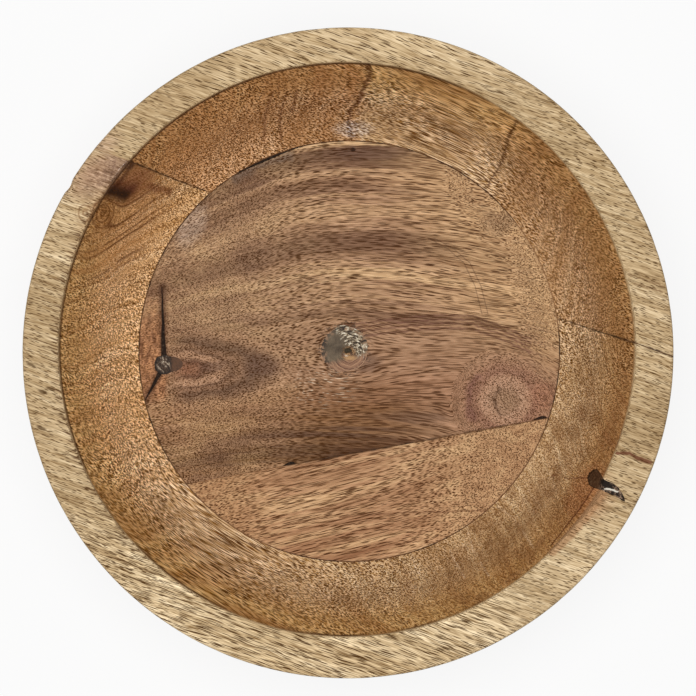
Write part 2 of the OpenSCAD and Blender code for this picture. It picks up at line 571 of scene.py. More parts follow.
def left_knot_tail(angle):
    """The smooth tail that the left knot runs out to on its right."""
    return LEFT_KNOT_TAIL * math.exp(-(turn_gap(angle, TAIL_ANGLE) / TAIL_SPREAD) ** 2)


def left_knot_outline():
    """The edge of the left knot, with its tail."""
    return wavy_round(LEFT_KNOT_AT, LEFT_KNOT_R, LEFT_KNOT_WAVER, 3.4, 2.0, left_knot_tail)


# Points along cracks and gaps, and how their lines sway and their widths vary
CRACK_STEPS = 40
CRACK_SWAY = 0.35
CRACK_TAPER = 1.25
CRACK_UNEVEN = 0.25
EDGE_GAP_STEPS = 60
EDGE_GAP_TIP_W = 0.15
EDGE_GAP_TAPER = 1.6
EDGE_GAP_UNEVEN = 0.2
SEAM_GAP_STEPS = 24
SEAM_GAP_TIP_W = 0.12


def traced(steps, at):
    """A path and its widths, from a function of the share of the way along it."""
    points = [at(i / steps) for i in range(steps + 1)]
    return [place for place, width in points], [width for place, width in points]


def crack_path(length, angle, start):
    """The wavering line of a crack's arm and its width along it."""
    def at(share):
        x, y = on_circle(LEFT_KNOT_AT, start + (length - start) * share, angle)
        sway = CRACK_SWAY * rough(x, y, 6.0, 5.0) * smooth(share * 4)
        x, y = on_circle((x, y), sway, angle + 90)
        taper = CRACK_TIP_W + (CRACK_W - CRACK_TIP_W) * (1 - share) ** CRACK_TAPER
        return (x, y), taper * (1 + CRACK_UNEVEN * rough(x, y, 2.6, 6.0))
    return traced(CRACK_STEPS, at)


def edge_gap_path():
    """The line of the crescent gap along the floor's edge and its width along it."""
    def at(share):
        angle = EDGE_GAP_ANGLE + EDGE_GAP_SPREAD * (2 * share - 1)
        width = EDGE_GAP_TIP_W + EDGE_GAP_W * math.sin(math.pi * share) ** EDGE_GAP_TAPER
        width *= 1 + EDGE_GAP_UNEVEN * rough(*on_circle((0, 0), OPEN_FLOOR_R, angle), 3.0, 7.0)
        return on_circle((0, 0), OPEN_FLOOR_R - FIT - width / 2, angle), width
    return traced(EDGE_GAP_STEPS, at)


# Place along the floor's seam, length and width of its two gaps
SEAM_GAPS = {"mid": (-39.0, 6.4, 1.2), "end": (86.0, 7.4, 1.1)}


def seam_gap_path(middle, length, width):
    """The line of a gap that lies against the floor's seam, and its width along it."""
    along = Vector(on_circle((0, 0), 1.0, FLOOR_SEAM_ANGLE))
    across = Vector(on_circle((0, 0), 1.0, FLOOR_SEAM_ANGLE + 90))

    def at(share):
        local = width * math.sin(math.pi * share ** 1.5) ** 0.8 + SEAM_GAP_TIP_W
        foot = along * (middle + length * (share - 0.5))
        foot += across * (FLOOR_SEAM_OFFSET + GLUE_T / 2 + FIT + local / 2)
        return (foot.x, foot.y), local
    return traced(SEAM_GAP_STEPS, at)


# Edge of the rim knot as the photograph shows it: the hollow on the wall, then the leaf on the rim
HOLLOW_PX = ((594, 488), (589.4, 485), (587.6, 479.5), (588.6, 474), (592.4, 470.4))
LEAF_PX = (
    (599, 470.6), (602, 475), (604.5, 479.6), (611, 482.6), (617, 486.4), (621.6, 492.4), (625.2, 501.4),
    (617, 497.2), (607.2, 492.6), (599, 489.6),
)


# Points from one pixel of the edge to the next, and how rough the edge is
KNOT_EDGE_STEPS = 6
KNOT_EDGE_ROUGH = 0.25


def rim_knot_outline(grow):
    """Plan of the hollow at the rim: an oval on the wall with a leaf that runs out across the rim."""
    corners = [on_wall(p).xy for p in HOLLOW_PX] + [on_rim(p).xy for p in LEAF_PX]
    count = len(corners)
    middle = sum(corners, Vector((0, 0))) / count
    outline = []
    for i in range(count):
        before, start, end, after = (corners[(i + k) % count] for k in (-1, 0, 1, 2))
        for step in range(KNOT_EDGE_STEPS):
            share = step / KNOT_EDGE_STEPS
            point = start + (end - before) * (share / 2)
            point += (before * 2 - start * 5 + end * 4 - after) * (share ** 2 / 2)
            point += (start * 3 - before - end * 3 + after) * (share ** 3 / 2)
            point += Vector((rough(*point, 1.5, 3.0), rough(*point, 1.5, 8.0))) * KNOT_EDGE_ROUGH
            outline.append(tuple(point + (point - middle).normalized() * grow))
    return outline


def rim_knot_tool(name, grow):
    """The body of the rim knot before it is trimmed to the bowl's surface, deepest at the wall."""
    outline = rim_knot_outline(grow)
    outward = on_rim(LEAF_PX[0]).xy.normalized()
    bottom = []
    for x, y in outline:
        depth = RIM_KNOT_DEPTH - RIM_KNOT_RISE * (outward.dot((x, y)) - INNER_RIM_R) + grow
        bottom.append((x, y, HEIGHT - depth))
    return loft(name, [bottom, [(x, y, HEIGHT + TOOL_LIFT) for x, y in outline]])


# Node helpers

class Field:
    """A value over a surface, held by a node's output, that takes plain arithmetic."""

    def __init__(self, socket):
        self.socket = socket
        self.tree = socket.id_data

    def __add__(self, other):
        return number("ADD", self, other)

    def __radd__(self, other):
        return number("ADD", other, self)

    def __sub__(self, other):
        return number("SUBTRACT", self, other)

    def __rsub__(self, other):
        return number("SUBTRACT", other, self)

    def __mul__(self, other):
        return number("MULTIPLY", self, other)

    def __rmul__(self, other):
        return number("MULTIPLY", other, self)

    def __truediv__(self, other):
        return number("DIVIDE", self, other)


def feed(socket, value):
    """Links a field to a socket, or sets a constant on it."""
    if isinstance(value, Field):
        value.tree.links.new(value.socket, socket)
    else:
        socket.default_value = value


def add_node(tree, kind, inputs, **settings):
    """A node in a tree, with constants or fields on inputs that are named or numbered."""
    node = tree.nodes.new(kind)
    for name, value in settings.items():
        setattr(node, name, value)
    for socket, value in inputs.items():
        feed(node.inputs[socket], value)
    return node


def new_node(kind, values, named=None, **settings):
    """A node beside the fields that feed its first inputs, with constants on named ones."""
    tree = next(value.tree for value in values if isinstance(value, Field))
    return add_node(tree, kind, {**dict(enumerate(values)), **(named or {})}, **settings)


def number(operation, *values):
    """Arithmetic on numbers."""
    return Field(new_node("ShaderNodeMath", values, operation=operation).outputs[0])


def vector(operation, *values):
    """Arithmetic on vectors. A length or a dot product comes back as a number."""
    node = new_node("ShaderNodeVectorMath", values, operation=operation)
    return Field(node.outputs["Value" if operation in ("LENGTH", "DOT_PRODUCT") else "Vector"])


def parts(field):
    """The three numbers of a vector."""
    return [Field(socket) for socket in new_node("ShaderNodeSeparateXYZ", [field]).outputs]


def joined(x, y, z):
    """A vector from three numbers."""
    return Field(new_node("ShaderNodeCombineXYZ", [x, y, z]).outputs[0])


def turned(field, degrees):
    """A place seen in axes that are turned about the bowl's axis."""
    angle = {"Angle": math.radians(-degrees)}
    return Field(new_node("ShaderNodeVectorRotate", [field], angle, rotation_type="Z_AXIS").outputs[0])


def sized(field, size):
    """A place measured in lengths of its own along each axis."""
    return vector("MULTIPLY", field, tuple(1 / s for s in size))


def distance(place, middle, size=None):
    """How far a place is from a point, in lengths along each axis if a size is given."""
    away = vector("SUBTRACT", place, tuple(middle))
    return vector("LENGTH", sized(away, size) if size else away)


def rise(field, low, high):
    """Eases from 0 at the first value to 1 at the second."""
    limits = {"From Min": low, "From Max": high}
    node = new_node("ShaderNodeMapRange", [field], limits, interpolation_type="SMOOTHSTEP")
    return Field(node.outputs["Result"])


def band(field, middle, half):
    """A soft band, 1 at its middle and 0 beyond its half width."""
    return rise(number("ABSOLUTE", field - middle), half, 0.0)


def clouds(field, size, detail=2.0, roughness=0.5):
    """Smooth random value about a half, with features of a size in millimetres along each axis."""
    looks = {"Scale": 1.0, "Detail": detail, "Roughness": roughness}
    return Field(new_node("ShaderNodeTexNoise", [sized(field, size)], looks).outputs[0])


def drift(field, size, amount):
    """A place carried off by smooth random amounts along each axis."""
    node = new_node("ShaderNodeTexNoise", [sized(field, size)], {"Scale": 1.0, "Detail": 1.0})
    away = vector("SUBTRACT", Field(node.outputs[1]), (0.5, 0.5, 0.5))
    return vector("ADD", field, vector("MULTIPLY", away, amount))


def cells(field, size, flat=False):
    """Distance to the nearest of many scattered points, in lengths of a size."""
    dimensions = "2D" if flat else "3D"
    values = [sized(field, size)]
    node = new_node("ShaderNodeTexVoronoi", values, {"Scale": 1.0}, voronoi_dimensions=dimensions)
    return Field(node.outputs["Distance"])


def spot(place, middle, radii, degrees=0.0, core=0.4):
    """1 in the core of an oval, 0 beyond its radii."""
    away = vector("SUBTRACT", place, tuple(middle))
    if degrees:
        away = turned(away, degrees)
    return rise(vector("LENGTH", sized(away, radii)), 1.0, core)


def stroke(place, points, width, soft=0.5):
    """1 along a line through points, 0 beyond its half width."""
    total = None
    for start, end in zip(points, points[1:]):
        run = end - start
        away = vector("SUBTRACT", place, tuple(start))
        share = vector("DOT_PRODUCT", away, tuple(run / run.length_squared))
        share = number("MINIMUM", number("MAXIMUM", share, 0.0), 1.0)
        foot = vector("MULTIPLY", joined(share, share, share), tuple(run))
        reach = vector("LENGTH", vector("SUBTRACT", away, foot))
        mark = rise(reach, width / 2, width / 2 * soft)
        total = mark if total is None else number("MAXIMUM", total, mark)
    return total


def paint(red, green, blue):
    """A colour written as it looks on a screen, from 0 to 255."""
    linear = []
    for level in (red, green, blue):
        share = level / 255
        linear.append(share / 12.92 if share <= 0.04045 else ((share + 0.055) / 1.055) ** 2.4)
    return (*linear, 1.0)


def ramp(field, *stops):
    """A colour that follows a value through stops, each a position and a colour as on a screen."""
    node = new_node("ShaderNodeValToRGB", [field])
    elements = node.color_ramp.elements
    while len(elements) < len(stops):
        elements.new(0.5)
    for element, (position, *colour) in zip(elements, stops):
        element.position = position
        element.color = paint(*colour)
    return Field(node.outputs[0])


def blend(first, second, share):
    """The first colour where the share is 0, the second where it is 1."""
    node = share.tree.nodes.new("ShaderNodeMix")
    node.data_type = "RGBA"
    feed(node.inputs["Factor"], share)
    feed(next(s for s in node.inputs if s.name == "A" and s.type == "RGBA"), first)
    feed(next(s for s in node.inputs if s.name == "B" and s.type == "RGBA"), second)
    return Field(next(s for s in node.outputs if s.type == "RGBA"))


def blank_tree(owner):
    """The empty node tree of a material or a world."""
    owner.use_nodes = True
    owner.node_tree.nodes.clear()
    return owner.node_tree


def start_material(name):
    """A new material, and the place on the surface in millimetres."""
    material = bpy.data.materials.new(name)
    coordinates = blank_tree(material).nodes.new("ShaderNodeTexCoord")
    place = vector("MULTIPLY", Field(coordinates.outputs["Object"]), (1 / MM, 1 / MM, 1 / MM))
    return material, place


def end_material(material, colour, roughness, height, specular):
    """The shader, with a relief given in millimetres."""
    tree = material.node_tree
    relief = add_node(tree, "ShaderNodeBump", {"Strength": 1.0, "Distance": MM, "Height": height})
    shader = add_node(tree, "ShaderNodeBsdfPrincipled", {
        "Specular IOR Level": specular,
        "Base Color": colour,
        "Roughness": roughness,
        "Normal": Field(relief.outputs["Normal"]),
    })
    add_node(tree, "ShaderNodeOutputMaterial", {"Surface": Field(shader.outputs["BSDF"])})
    return material


# Marks on the wood

WOOD_GLOSS = 0.08


def specks(field, size, reach, flat=False):
    """Sharp-edged pores as large as the reach in lengths of the size, and the pale rims round them."""
    near = cells(field, size, flat)
    return rise(near, reach, reach * 0.55), band(near, reach * 1.5, reach * 0.5)


def tone(colour, level, deep=0.0):
    """A colour made lighter and paler above a level of 0, and darker and deeper below it."""
    green = level * (deep * 0.16 + 1.2) + 1.0
    blue = level * (deep * 0.6 + 1.5) + 1.0
    gains = joined(level + 1.0, green, blue)
    return vector("MULTIPLY", colour, vector("MAXIMUM", gains, (0.05, 0.05, 0.05)))


def fine_lines(strands):
    """Thin dark lines along the grain."""
    return rise(strands, 0.37, 0.27)


def ragged(place, size, amount):
    """A place moved about a little, so that marks get uneven edges."""
    return drift(place, (size, size, size), (amount, amount, amount))


def stain(colour, mask, tint, share):
    """A colour, written as on a screen, laid over another where the mask is."""
    return blend(colour, paint(*tint), mask * share)


def either(*masks):
    """The strongest of some masks."""
    strongest = masks[0]
    for mask in masks[1:]:
        strongest = number("MAXIMUM", strongest, mask)
    return strongest


def ring_lines(place, middle, radii, spacing, reach):
    """Rings round a point, out to a reach."""
    away = distance(place, middle, radii)
    return band(number("FRACT", away / spacing), 0.5, 0.34) * rise(away, reach, reach * 0.7)


def wall_line(pixels):
    """Points of the wall under a line of pixels, close enough together to follow its curve."""
    points = []
    for start, end in zip(pixels, pixels[1:]):
        halfway = ((start[0] + end[0]) / 2, (start[1] + end[1]) / 2)
        points += [on_wall(start), on_wall(halfway)]
    return points + [on_wall(pixels[-1])]


def on_worn_edge(pixel):
    """The point of the rim's inner edge, where it is worn down, at a pixel."""
    return seen_at(pixel, HEIGHT - WORN_EDGE)


def lay_spots(colour, place, surface, spots):
    """Lays oval spots over a colour, from rows of pixel, radii, turn, core, colour and share."""
    for pixel, radii, degrees, core, tint, share in spots:
        colour = stain(colour, spot(place, surface(pixel), radii, degrees, core), tint, share)
    return colour


def lay_lines(colour, place, surface, lines):
    """Lays lines over a colour, from rows of pixels, width, softness, colour and share."""
    for pixels, width, soft, tint, share in lines:
        points = [surface(p) for p in pixels]
        colour = stain(colour, stroke(place, points, width, soft), tint, share)
    return colour


def seam_shadow(place, angle, offset, colour, faint):
    """Darkens a board unevenly along its glue seam, but not where the seam is faint."""
    across = vector("DOT_PRODUCT", place, (*on_circle((0, 0), 1.0, angle + 90), 0.0))
    broken = rise(clouds(place, (5.0, 5.0, 5.0), 2.0), 0.35, 0.6) * (1.0 - faint)
    return stain(colour, band(across, offset, 1.2) * broken, (58, 36, 20), 0.8)


def hidden_rim_seam(place):
    """Where the seam of the wall boards is hidden by the knot at upper left, on the rim."""
    return spot(place, on_rim((104, 153)), (16.0, 12.0, 5.0), 0.0, 0.6)


def faint_floor_seam(place):
    """Where the seam of the floor boards is hardly seen, at its left end."""
    return spot(place, on_floor((244, 478)), (34.0, 14.0, 30.0), 0.0, 0.5)


def end_wood(material, colour, fibres, pores, height):
    """Ends a material of wood, rougher along fibres and in pores."""
    roughness = 0.5 + fibres * 0.16 + pores * 0.2
    return end_material(material, colour, roughness, height, WOOD_GLOSS)


# Wood of the wall boards

WALL_PORES = [((7.0, 0.62, 0.62), 0.46), ((28.0, 0.7, 0.7), 0.41)]


def wall_zones(place):
    """Masks of the sides and heights of the wall and rim."""
    x, y, z = parts(place)
    rim = rise(z, HEIGHT - 2.2, HEIGHT - 0.6)
    wall = 1.0 - rim
    zone = SimpleNamespace(x=x, y=y, z=z, rim=rim, wall=wall)
    zone.broad = clouds(place, (60.0, 34.0, 30.0), 2.0)
    zone.out = vector("LENGTH", joined(x, y, 0.0))
    zone.upper = rise(z, 22.0, 66.0)
    zone.foot = rise(z, 34.0, 18.0) * wall
    zone.quiet_foot = zone.foot * rise(x, -70.0, -10.0)
    zone.quiet_top = rise(z, 46.0, 58.0) * rise(y, -60.0, -20.0)
    zone.half_up = band(z, 37.0, 20.0) * wall
    zone.bottom = rise(y, -30.0, -95.0) * wall
    zone.left = rise(x, -30.0, -90.0) * wall
    zone.golden = zone.left * rise(y, -80.0, -40.0)
    zone.right = rise(x, 60.0, 115.0) * rise(y, 40.0, -10.0) * wall
    zone.low_right = rise(x, 10.0, 70.0) * rise(y, 10.0, -50.0) * wall
    zone.calm = 1.0 - zone.low_right * 0.3
    zone.worn_rim = rise(y, -40.0, -110.0) * rise(x, 95.0, 55.0) * rim
    return zone


def wall_grain(place, zone, pith, seed, tilt, knots):
    """The grain of a wall board, with growth rings about its pith that bulge at knots."""
    grain = vector("ADD", turned(place, RING_SEAM_ANGLE), (seed, 0.0, 0.0))
    along, across, up = parts(drift(grain, (120.0, 36.0, 36.0), (0.0, 8.0, 8.0)))
    growth = vector("LENGTH", joined(0.0, across - pith[0], up - pith[1]))
    for middle, radii, push in knots:
        away = distance(place, middle, radii)
        growth = growth + number("EXPONENT", away * away * -1.0) * push
    layers = joined(along, growth, 0.0)
    wobble = (clouds(place, (9.0, 9.0, 9.0), 1.0) - 0.5) * 0.8
    inner = rise(zone.out - zone.z * 0.5, 111.0, 104.0) * zone.wall
    pressed = number("EXPONENT", up / -38.0) * -54.0
    lines = joined(along, across + wobble + along * zone.wall * tilt, up + (pressed - up) * inner)
    grain = SimpleNamespace(growth=growth, lines=lines)
    grain.bands = clouds(layers, (130.0, 4.0, 1.0), 3.0, 0.6)
    grain.crowd = clouds(layers, (50.0, 3.6, 1.0), 2.0)
    grain.busy = rise(grain.crowd + zone.broad - zone.upper * 0.12, 0.72, 1.08)
    grain.fibres = clouds(lines, (9.0, 0.42, 0.45), 1.0)
    grain.strands = clouds(lines, (40.0, 0.9, 1.2), 2.0, 0.6)
    grain.threads = rise(clouds(lines, (60.0, 0.62, 0.62), 1.0), 0.40, 0.31) * zone.wall
    grain.annual = clouds(joined(0.0, growth, 0.0), (1.0, 2.2, 1.0), 2.0)
    return grain


def wall_pores(zone, grain):
    """Dark pores, dots on the wall and dashes on the rim, and the pale rims round them."""
    pores = zone.rim * 0.0
    glow = zone.rim * 0.0
    for size, reach in WALL_PORES:
        dots, halos = specks(grain.lines, size, reach)
        pores = either(pores, dots * zone.wall * (grain.busy * 0.3 + 0.7))
        glow = glow + halos * zone.wall * (grain.busy * 0.5 + 0.5)
    sides = rise(number("ABSOLUTE", zone.x), 60.0, 100.0)
    short_sides = either(rise(zone.y, -100.0, -60.0), rise(zone.x, 0.0, 40.0))
    lengthwise = 1.0 - sides * short_sides * 0.5
    rim_dashes = [
        ((7.0, 0.9, 1.0), 0.2, sides),
        ((13.0, 0.95, 1.0), 0.2, lengthwise),
        ((36.0, 1.2, 1.0), 0.15, lengthwise),
    ]
    for size, reach, where in rim_dashes:
        dashes, halos = specks(grain.lines, size, reach, True)
        crowded = rise(grain.crowd + zone.worn_rim * 0.12, 0.2, 0.46)
        pores = either(pores, dashes * where * zone.rim * crowded)
        glow = glow + halos * where * (zone.rim * 0.5 + zone.worn_rim * 0.5)
    dashes, halos = specks(grain.lines, (22.0, 0.92, 1.0), 0.21, True)
    pores = either(pores, dashes * zone.worn_rim)
    glow = glow + halos * zone.worn_rim * 0.6
    return pores * zone.calm, glow * zone.calm


def wall_level(zone):
    """How much lighter or darker than usual each side of the wall and rim is."""
    x, y, wall = zone.x, zone.y, zone.wall
    top_left = rise(y, 60.0, 100.0) * rise(x, 40.0, 0.0)
    top_right = rise(y, 45.0, 85.0) * 0.4
    low_end = zone.bottom * rise(x, -30.0, 10.0)
    ends = either(low_end, zone.right * 0.9, top_left, top_right) * wall * rise(zone.z, 54.0, 24.0)
    level = (zone.broad - 0.5) * 0.7 + wall * 0.12
    level = level - zone.bottom * 0.09 - zone.right * 0.08 - ends * 0.28
    top_end = rise(y, 80.0, 115.0)
    knot_side = rise(x, -30.0, -70.0) * rise(y, 30.0, 70.0)
    level = level + zone.half_up * (0.06 + zone.golden * 0.2 + knot_side * 0.06 - top_end * 0.09)
    level = level + zone.foot * (0.02 + knot_side * 0.04 - zone.left * rise(y, -60.0, -30.0) * 0.08)
    pale_rim = rise(y, 20.0, 80.0) * 0.04 + rise(x, 40.0, 80.0) * rise(y, -40.0, -90.0) * 0.12
    return level + zone.rim * (pale_rim - rise(x, 90.0, 130.0) * 0.02)


def wall_colour(place, zone, grain):
    """Cream on the rim and golden brown on the wall, before pores and marks."""
    low_wall = ramp(grain.bands, (0.28, 174, 136, 93), (0.50, 203, 165, 120), (0.72, 222, 189, 144))
    high_wall = ramp(grain.bands, (0.28, 171, 122, 71), (0.50, 195, 149, 92), (0.72, 213, 170, 109))
    top = ramp(grain.bands, (0.24, 158, 128, 90), (0.44, 183, 155, 115), (0.66, 204, 178, 139))
    colour = blend(blend(low_wall, high_wall, zone.upper), top, zone.rim)
    colour = tone(colour, wall_level(zone))
    colour = tone(colour, (grain.annual - 0.5) * zone.wall * 0.35)
    colour = stain(colour, zone.golden * rise(zone.z, 62.0, 40.0), (224, 158, 84), 0.35)
    patches = rise(clouds(place, (13.0, 13.0, 13.0), 3.0, 0.6), 0.5, 0.62)
    colour = stain(colour, patches * zone.low_right, (134, 92, 54), 0.45)
    return stain(colour, zone.right * rise(zone.z, 40.0, 66.0), (150, 100, 62), 0.5)


def rim_shadow(zone, grain, colour):
    """The dark line under the rim's inner edge, and the dark ends of fibres on it at the left."""
    edge = band(zone.z, HEIGHT - 2.4, 1.5) * (1.0 - rise(zone.x, 40.0, 80.0)) * rise(zone.broad, 0.3, 0.5)
    inside = rise(zone.out, INNER_RIM_R + 6.0, INNER_RIM_R + 3.0)
    colour = stain(colour, edge * inside, (66, 38, 20), 0.85)
    uneven = zone.out + (grain.fibres - 0.5) * 12.0
    teeth = rise(grain.strands, 0.52, 0.42) * rise(uneven, INNER_RIM_R + 5.0, INNER_RIM_R + 2.5)
    return stain(colour, teeth * zone.rim * rise(zone.x, -85.0, -120.0), (84, 52, 26), 0.8)


def ring_wood(name, pith, seed, tilt, knots, marks):
    """Wood of a wall board, with dark pores along the grain and marks of its own."""
    material, place = start_material(name)
    zone = wall_zones(place)
    grain = wall_grain(place, zone, pith, seed, tilt, knots)
    pores, glow = wall_pores(zone, grain)
    colour, pores = marks(place, grain.growth, wall_colour(place, zone, grain), pores)
    wildness = grain.busy * 1.2 + 1.9 - zone.bottom * 0.2 - zone.quiet_foot * 0.5
    wildness = wildness + zone.half_up * 0.4 - zone.quiet_top * 0.7
    wild = wildness * zone.wall * zone.calm + zone.rim * 1.6 + zone.worn_rim * 1.4
    shine = glow * (0.22 - zone.bottom * 0.06 - zone.quiet_foot * 0.07 - zone.quiet_top * 0.06)
    streaky = (grain.strands - 0.5) * (zone.worn_rim * 0.5 + 0.5)
    colour = tone(colour, (grain.fibres - 0.5) * wild + streaky + (shine + zone.worn_rim * 0.2), zone.wall)
    dark = blend(paint(84, 46, 2), paint(78, 46, 6), zone.rim)
    lines = either(fine_lines(grain.strands) * (zone.worn_rim * 0.3 + 0.6), grain.threads * 0.75)
    colour = blend(colour, dark, either(pores, lines))
    colour = rim_shadow(zone, grain, colour)
    colour = seam_shadow(place, RING_SEAM_ANGLE, RING_SEAM_OFFSET, colour, hidden_rim_seam(place))
    height = pores * -0.14 + grain.fibres * wild * 0.04 + grain.strands * 0.05
    return end_wood(material, colour, grain.fibres, pores, height)


# Marks of the larger wall board, by pixel

RIM_DOTS = [
    (pixel, (3.4, 1.2, 4.0), -20.0, 0.4, (92, 68, 40), 0.85)
    for pixel in ((31, 365), (43, 392), (51, 389), (41, 428))
]
PALE_ARCS_PX = [
    ((410, 552), (415, 566), (422, 578)),
    ((450, 550), (456, 564), (465, 578)),
    ((468, 533), (474, 552), (489, 576)),
    ((497, 505), (516, 521), (533, 547)),
]
TOOL_MARK = [(((288, 558), (322, 597)), 1.0, 0.5, (120, 78, 44), 0.5)]
SWIRL_PX = (103, 213)
RIM_SWIRL_PX = (85, 213)
KNOT_ZONE_PX = (124, 222)
RED_PX = (135, 181)
GREY_PX = (104, 174)
WINE_PX = ((108, 187), (120, 190), (131, 191))
WEDGE_PX = ((105, 188.5), (113, 191.5), (126, 195.5))
RED_STREAKS = [
    (((149, 186), (160, 190), (170, 192)), 7.0, 0.1, (122, 70, 42), 0.7),
    (((133, 163), (123, 178), (114, 190)), 9.0, 0.0, (78, 44, 30), 0.75),
]
DARK_SPOT = [((129, 164), (5.0, 4.0, 9.0), 0.0, 0.4, (66, 42, 30), 0.75)]
PINK_STAINS = [
    ((98, 172), (25.0, 12.0, 6.0), 36.0, 0.1, (166, 128, 100), 0.85),
    ((113, 172), (12.0, 7.0, 6.0), 52.0, 0.1, (128, 98, 80), 0.8),
]
RIM_SPLITS = [
    (((67, 192), (70, 186), (72, 183)), 1.8, 0.5, (74, 54, 42), 0.85),
    (((134, 155), (121, 169), (107, 190)), 1.5, 0.5, (46, 30, 26), 0.95),
]
RIM_GLINT = [(((131, 156.5), (119, 169.5), (108, 187)), 0.5, 0.5, (226, 206, 192), 0.6)]


def lower_marks(place, growth, colour, pores):
    """The marks of the larger wall board."""
    torn = ragged(place, 5.0, 4.0)
    fine = ragged(place, 2.5, 1.4)
    colour, pores = upper_left_marks(place, torn, fine, growth, colour, pores)
    colour = lay_spots(colour, fine, on_rim, RIM_DOTS)
    for pixels in PALE_ARCS_PX:
        colour = stain(colour, stroke(fine, wall_line(pixels), 1.6, 0.0), (222, 188, 148), 0.65)
    colour = lay_lines(colour, place, on_wall, TOOL_MARK)
    return rim_knot_marks(torn, fine, colour), pores


def upper_left_marks(place, torn, fine, growth, colour, pores):
    """The knot at upper left, with its rings on the wall and its pink stain on the rim."""
    zone = spot(torn, on_wall(KNOT_ZONE_PX), (44.0, 24.0, 70.0), 62.0, 0.3)
    uneven = clouds(joined(growth, growth, 0.0), (5.0, 60.0, 1.0), 2.0)
    faded = rise(clouds(place, (16.0, 16.0, 16.0), 2.0), 0.3, 0.5)
    rings = band(number("FRACT", growth / 3.2 + uneven * 2.0), 0.5, 0.5) * rise(uneven, 0.42, 0.58)
    colour = stain(colour, zone, (186, 132, 80), 0.5)
    colour = stain(colour, zone * rings * faded, (92, 50, 24), 0.85)
    heart = spot(torn, on_wall(SWIRL_PX), (8.0, 10.0, 20.0), 0.0, 0.3)
    colour = stain(colour, heart, (166, 116, 66), 0.8)
    swirl = ring_lines(fine, on_wall(SWIRL_PX), (1.0, 1.4, 2.4), 2.2, 8.5)
    colour = stain(colour, swirl, (104, 60, 26), 0.7)
    rim_swirl = ring_lines(fine, on_rim(RIM_SWIRL_PX), (1.0, 1.5, 9.0), 1.8, 5.0)
    colour = stain(colour, rim_swirl, (136, 98, 62), 0.7)
    red = spot(torn, on_wall(RED_PX), (19.0, 13.0, 40.0), 40.0, 0.2)
    colour = stain(colour, red, (132, 82, 52), 0.8)
    colour = lay_lines(colour, torn, on_wall, RED_STREAKS)
    colour = lay_spots(colour, fine, on_wall, DARK_SPOT)
    below_rim = wall_below_rim(place)
    wine = stroke(torn, [on_wall(p) for p in WINE_PX], 17.0, 0.0) * below_rim
    colour = stain(colour, wine, (84, 42, 30), 0.85)
    wedge = stroke(fine, [on_wall(p) for p in WEDGE_PX], 11.0, 0.1) * below_rim
    colour = stain(colour, wedge, (44, 26, 16), 0.97)
    colour = lay_spots(colour, torn, on_rim, PINK_STAINS)
    colour = lay_lines(colour, fine, on_rim, RIM_SPLITS)
    colour = lay_lines(colour, place, on_rim, RIM_GLINT)
    grey = spot(torn, on_rim(GREY_PX), (22.0, 12.0, 6.0), 50.0, 0.1)
    grains = clouds(place, (1.5, 1.5, 1.5), 3.0, 0.65)
    mottle = ramp(grains, (0.36, 112, 84, 68), (0.50, 162, 128, 102), (0.64, 200, 166, 136))
    colour = blend(colour, mottle, grey * 0.6)
    return colour, pores * (1.0 - either(red, wedge, zone * 0.5, grey * 0.5))


def wall_below_rim(place):
    """1 on the wall, 0 on the rim."""
    return rise(parts(place)[2], HEIGHT - 0.8, HEIGHT - 2.2)


# Marks round the hollow at lower right: a worn bevel, gum lines and fine cracks
WORN_EDGE = 0.9
HOLLOW_STAINS = [((585, 492), (17.0, 20.0, 26.0), 0.0, 0.4, (164, 104, 66), 0.5)] + [
    (pixel, (6.0, 6.0, 14.0), 0.0, 0.4, (112, 70, 34), 0.4)
    for pixel in ((581, 414), (572, 432), (585, 452), (596, 418))
]
WORN_EDGE_PX = ((623, 400), (622, 422), (618.5, 436), (611, 454), (602, 470), (598, 484))
HOLLOW_LINES = [
    (on_rim, ((601, 492), (586, 514), (569, 534), (552, 550)), 7.5, 0.5, (168, 126, 88), 0.8),
    (on_wall, ((596, 484), (583, 504), (570, 521), (551, 545)), 1.5, 0.5, (88, 44, 26), 0.85),
    (on_worn_edge, WORN_EDGE_PX, 3.0, 0.2, (104, 54, 38), 0.8),
    (on_rim, ((617, 453), (629, 453), (636, 457.5), (651, 462.5)), 2.6, 0.3, (104, 60, 38), 0.92),
    (on_wall, ((553, 475), (568, 478.5), (588, 477.5)), 1.0, 0.5, (100, 56, 32), 0.7),
]


def rim_knot_marks(torn, fine, colour):
    """The marks round the hollow at lower right."""
    colour = lay_spots(colour, torn, on_wall, HOLLOW_STAINS)
    for surface, *line in HOLLOW_LINES:
        colour = lay_lines(colour, fine, surface, [line])
    return colour


# Marks of the smaller wall board, by pixel
GUM_LEFT_PX = ((367.5, 63), (369.5, 75), (363, 90), (358, 102), (350, 111), (348.5, 121), (351, 136))
GUM_RIGHT_PX = ((517, 121), (508, 138), (505.5, 150), (501, 163), (492, 178), (488, 187))
LEAF_ARCS_PX = [
    ((273, 92), (265, 114), (264, 140)),
    ((287, 92), (280, 115), (281, 139)),
    ((297, 91), (292, 112)),
]
PINK_RIM = [((104, 146), (13.0, 8.0, 6.0), 40.0, 0.1, (182, 148, 120), 0.6)]
LOWER_GUM = [
    (GUM_LEFT_PX[3:], 3.2, 0.2, (84, 48, 28), 0.85),
    (GUM_RIGHT_PX, 2.6, 0.1, (84, 48, 26), 0.85),
]
WORN_PATCH = [((354, 129), (13.0, 5.5, 12.0), 0.0, 0.4, (198, 180, 160), 0.5)]
RIM_STREAKS = [
    (pixels, 1.4, 0.5, (120, 90, 58), 0.7)
    for pixels in (((628, 274), (668, 288)), ((634, 283), (662, 292)))
]


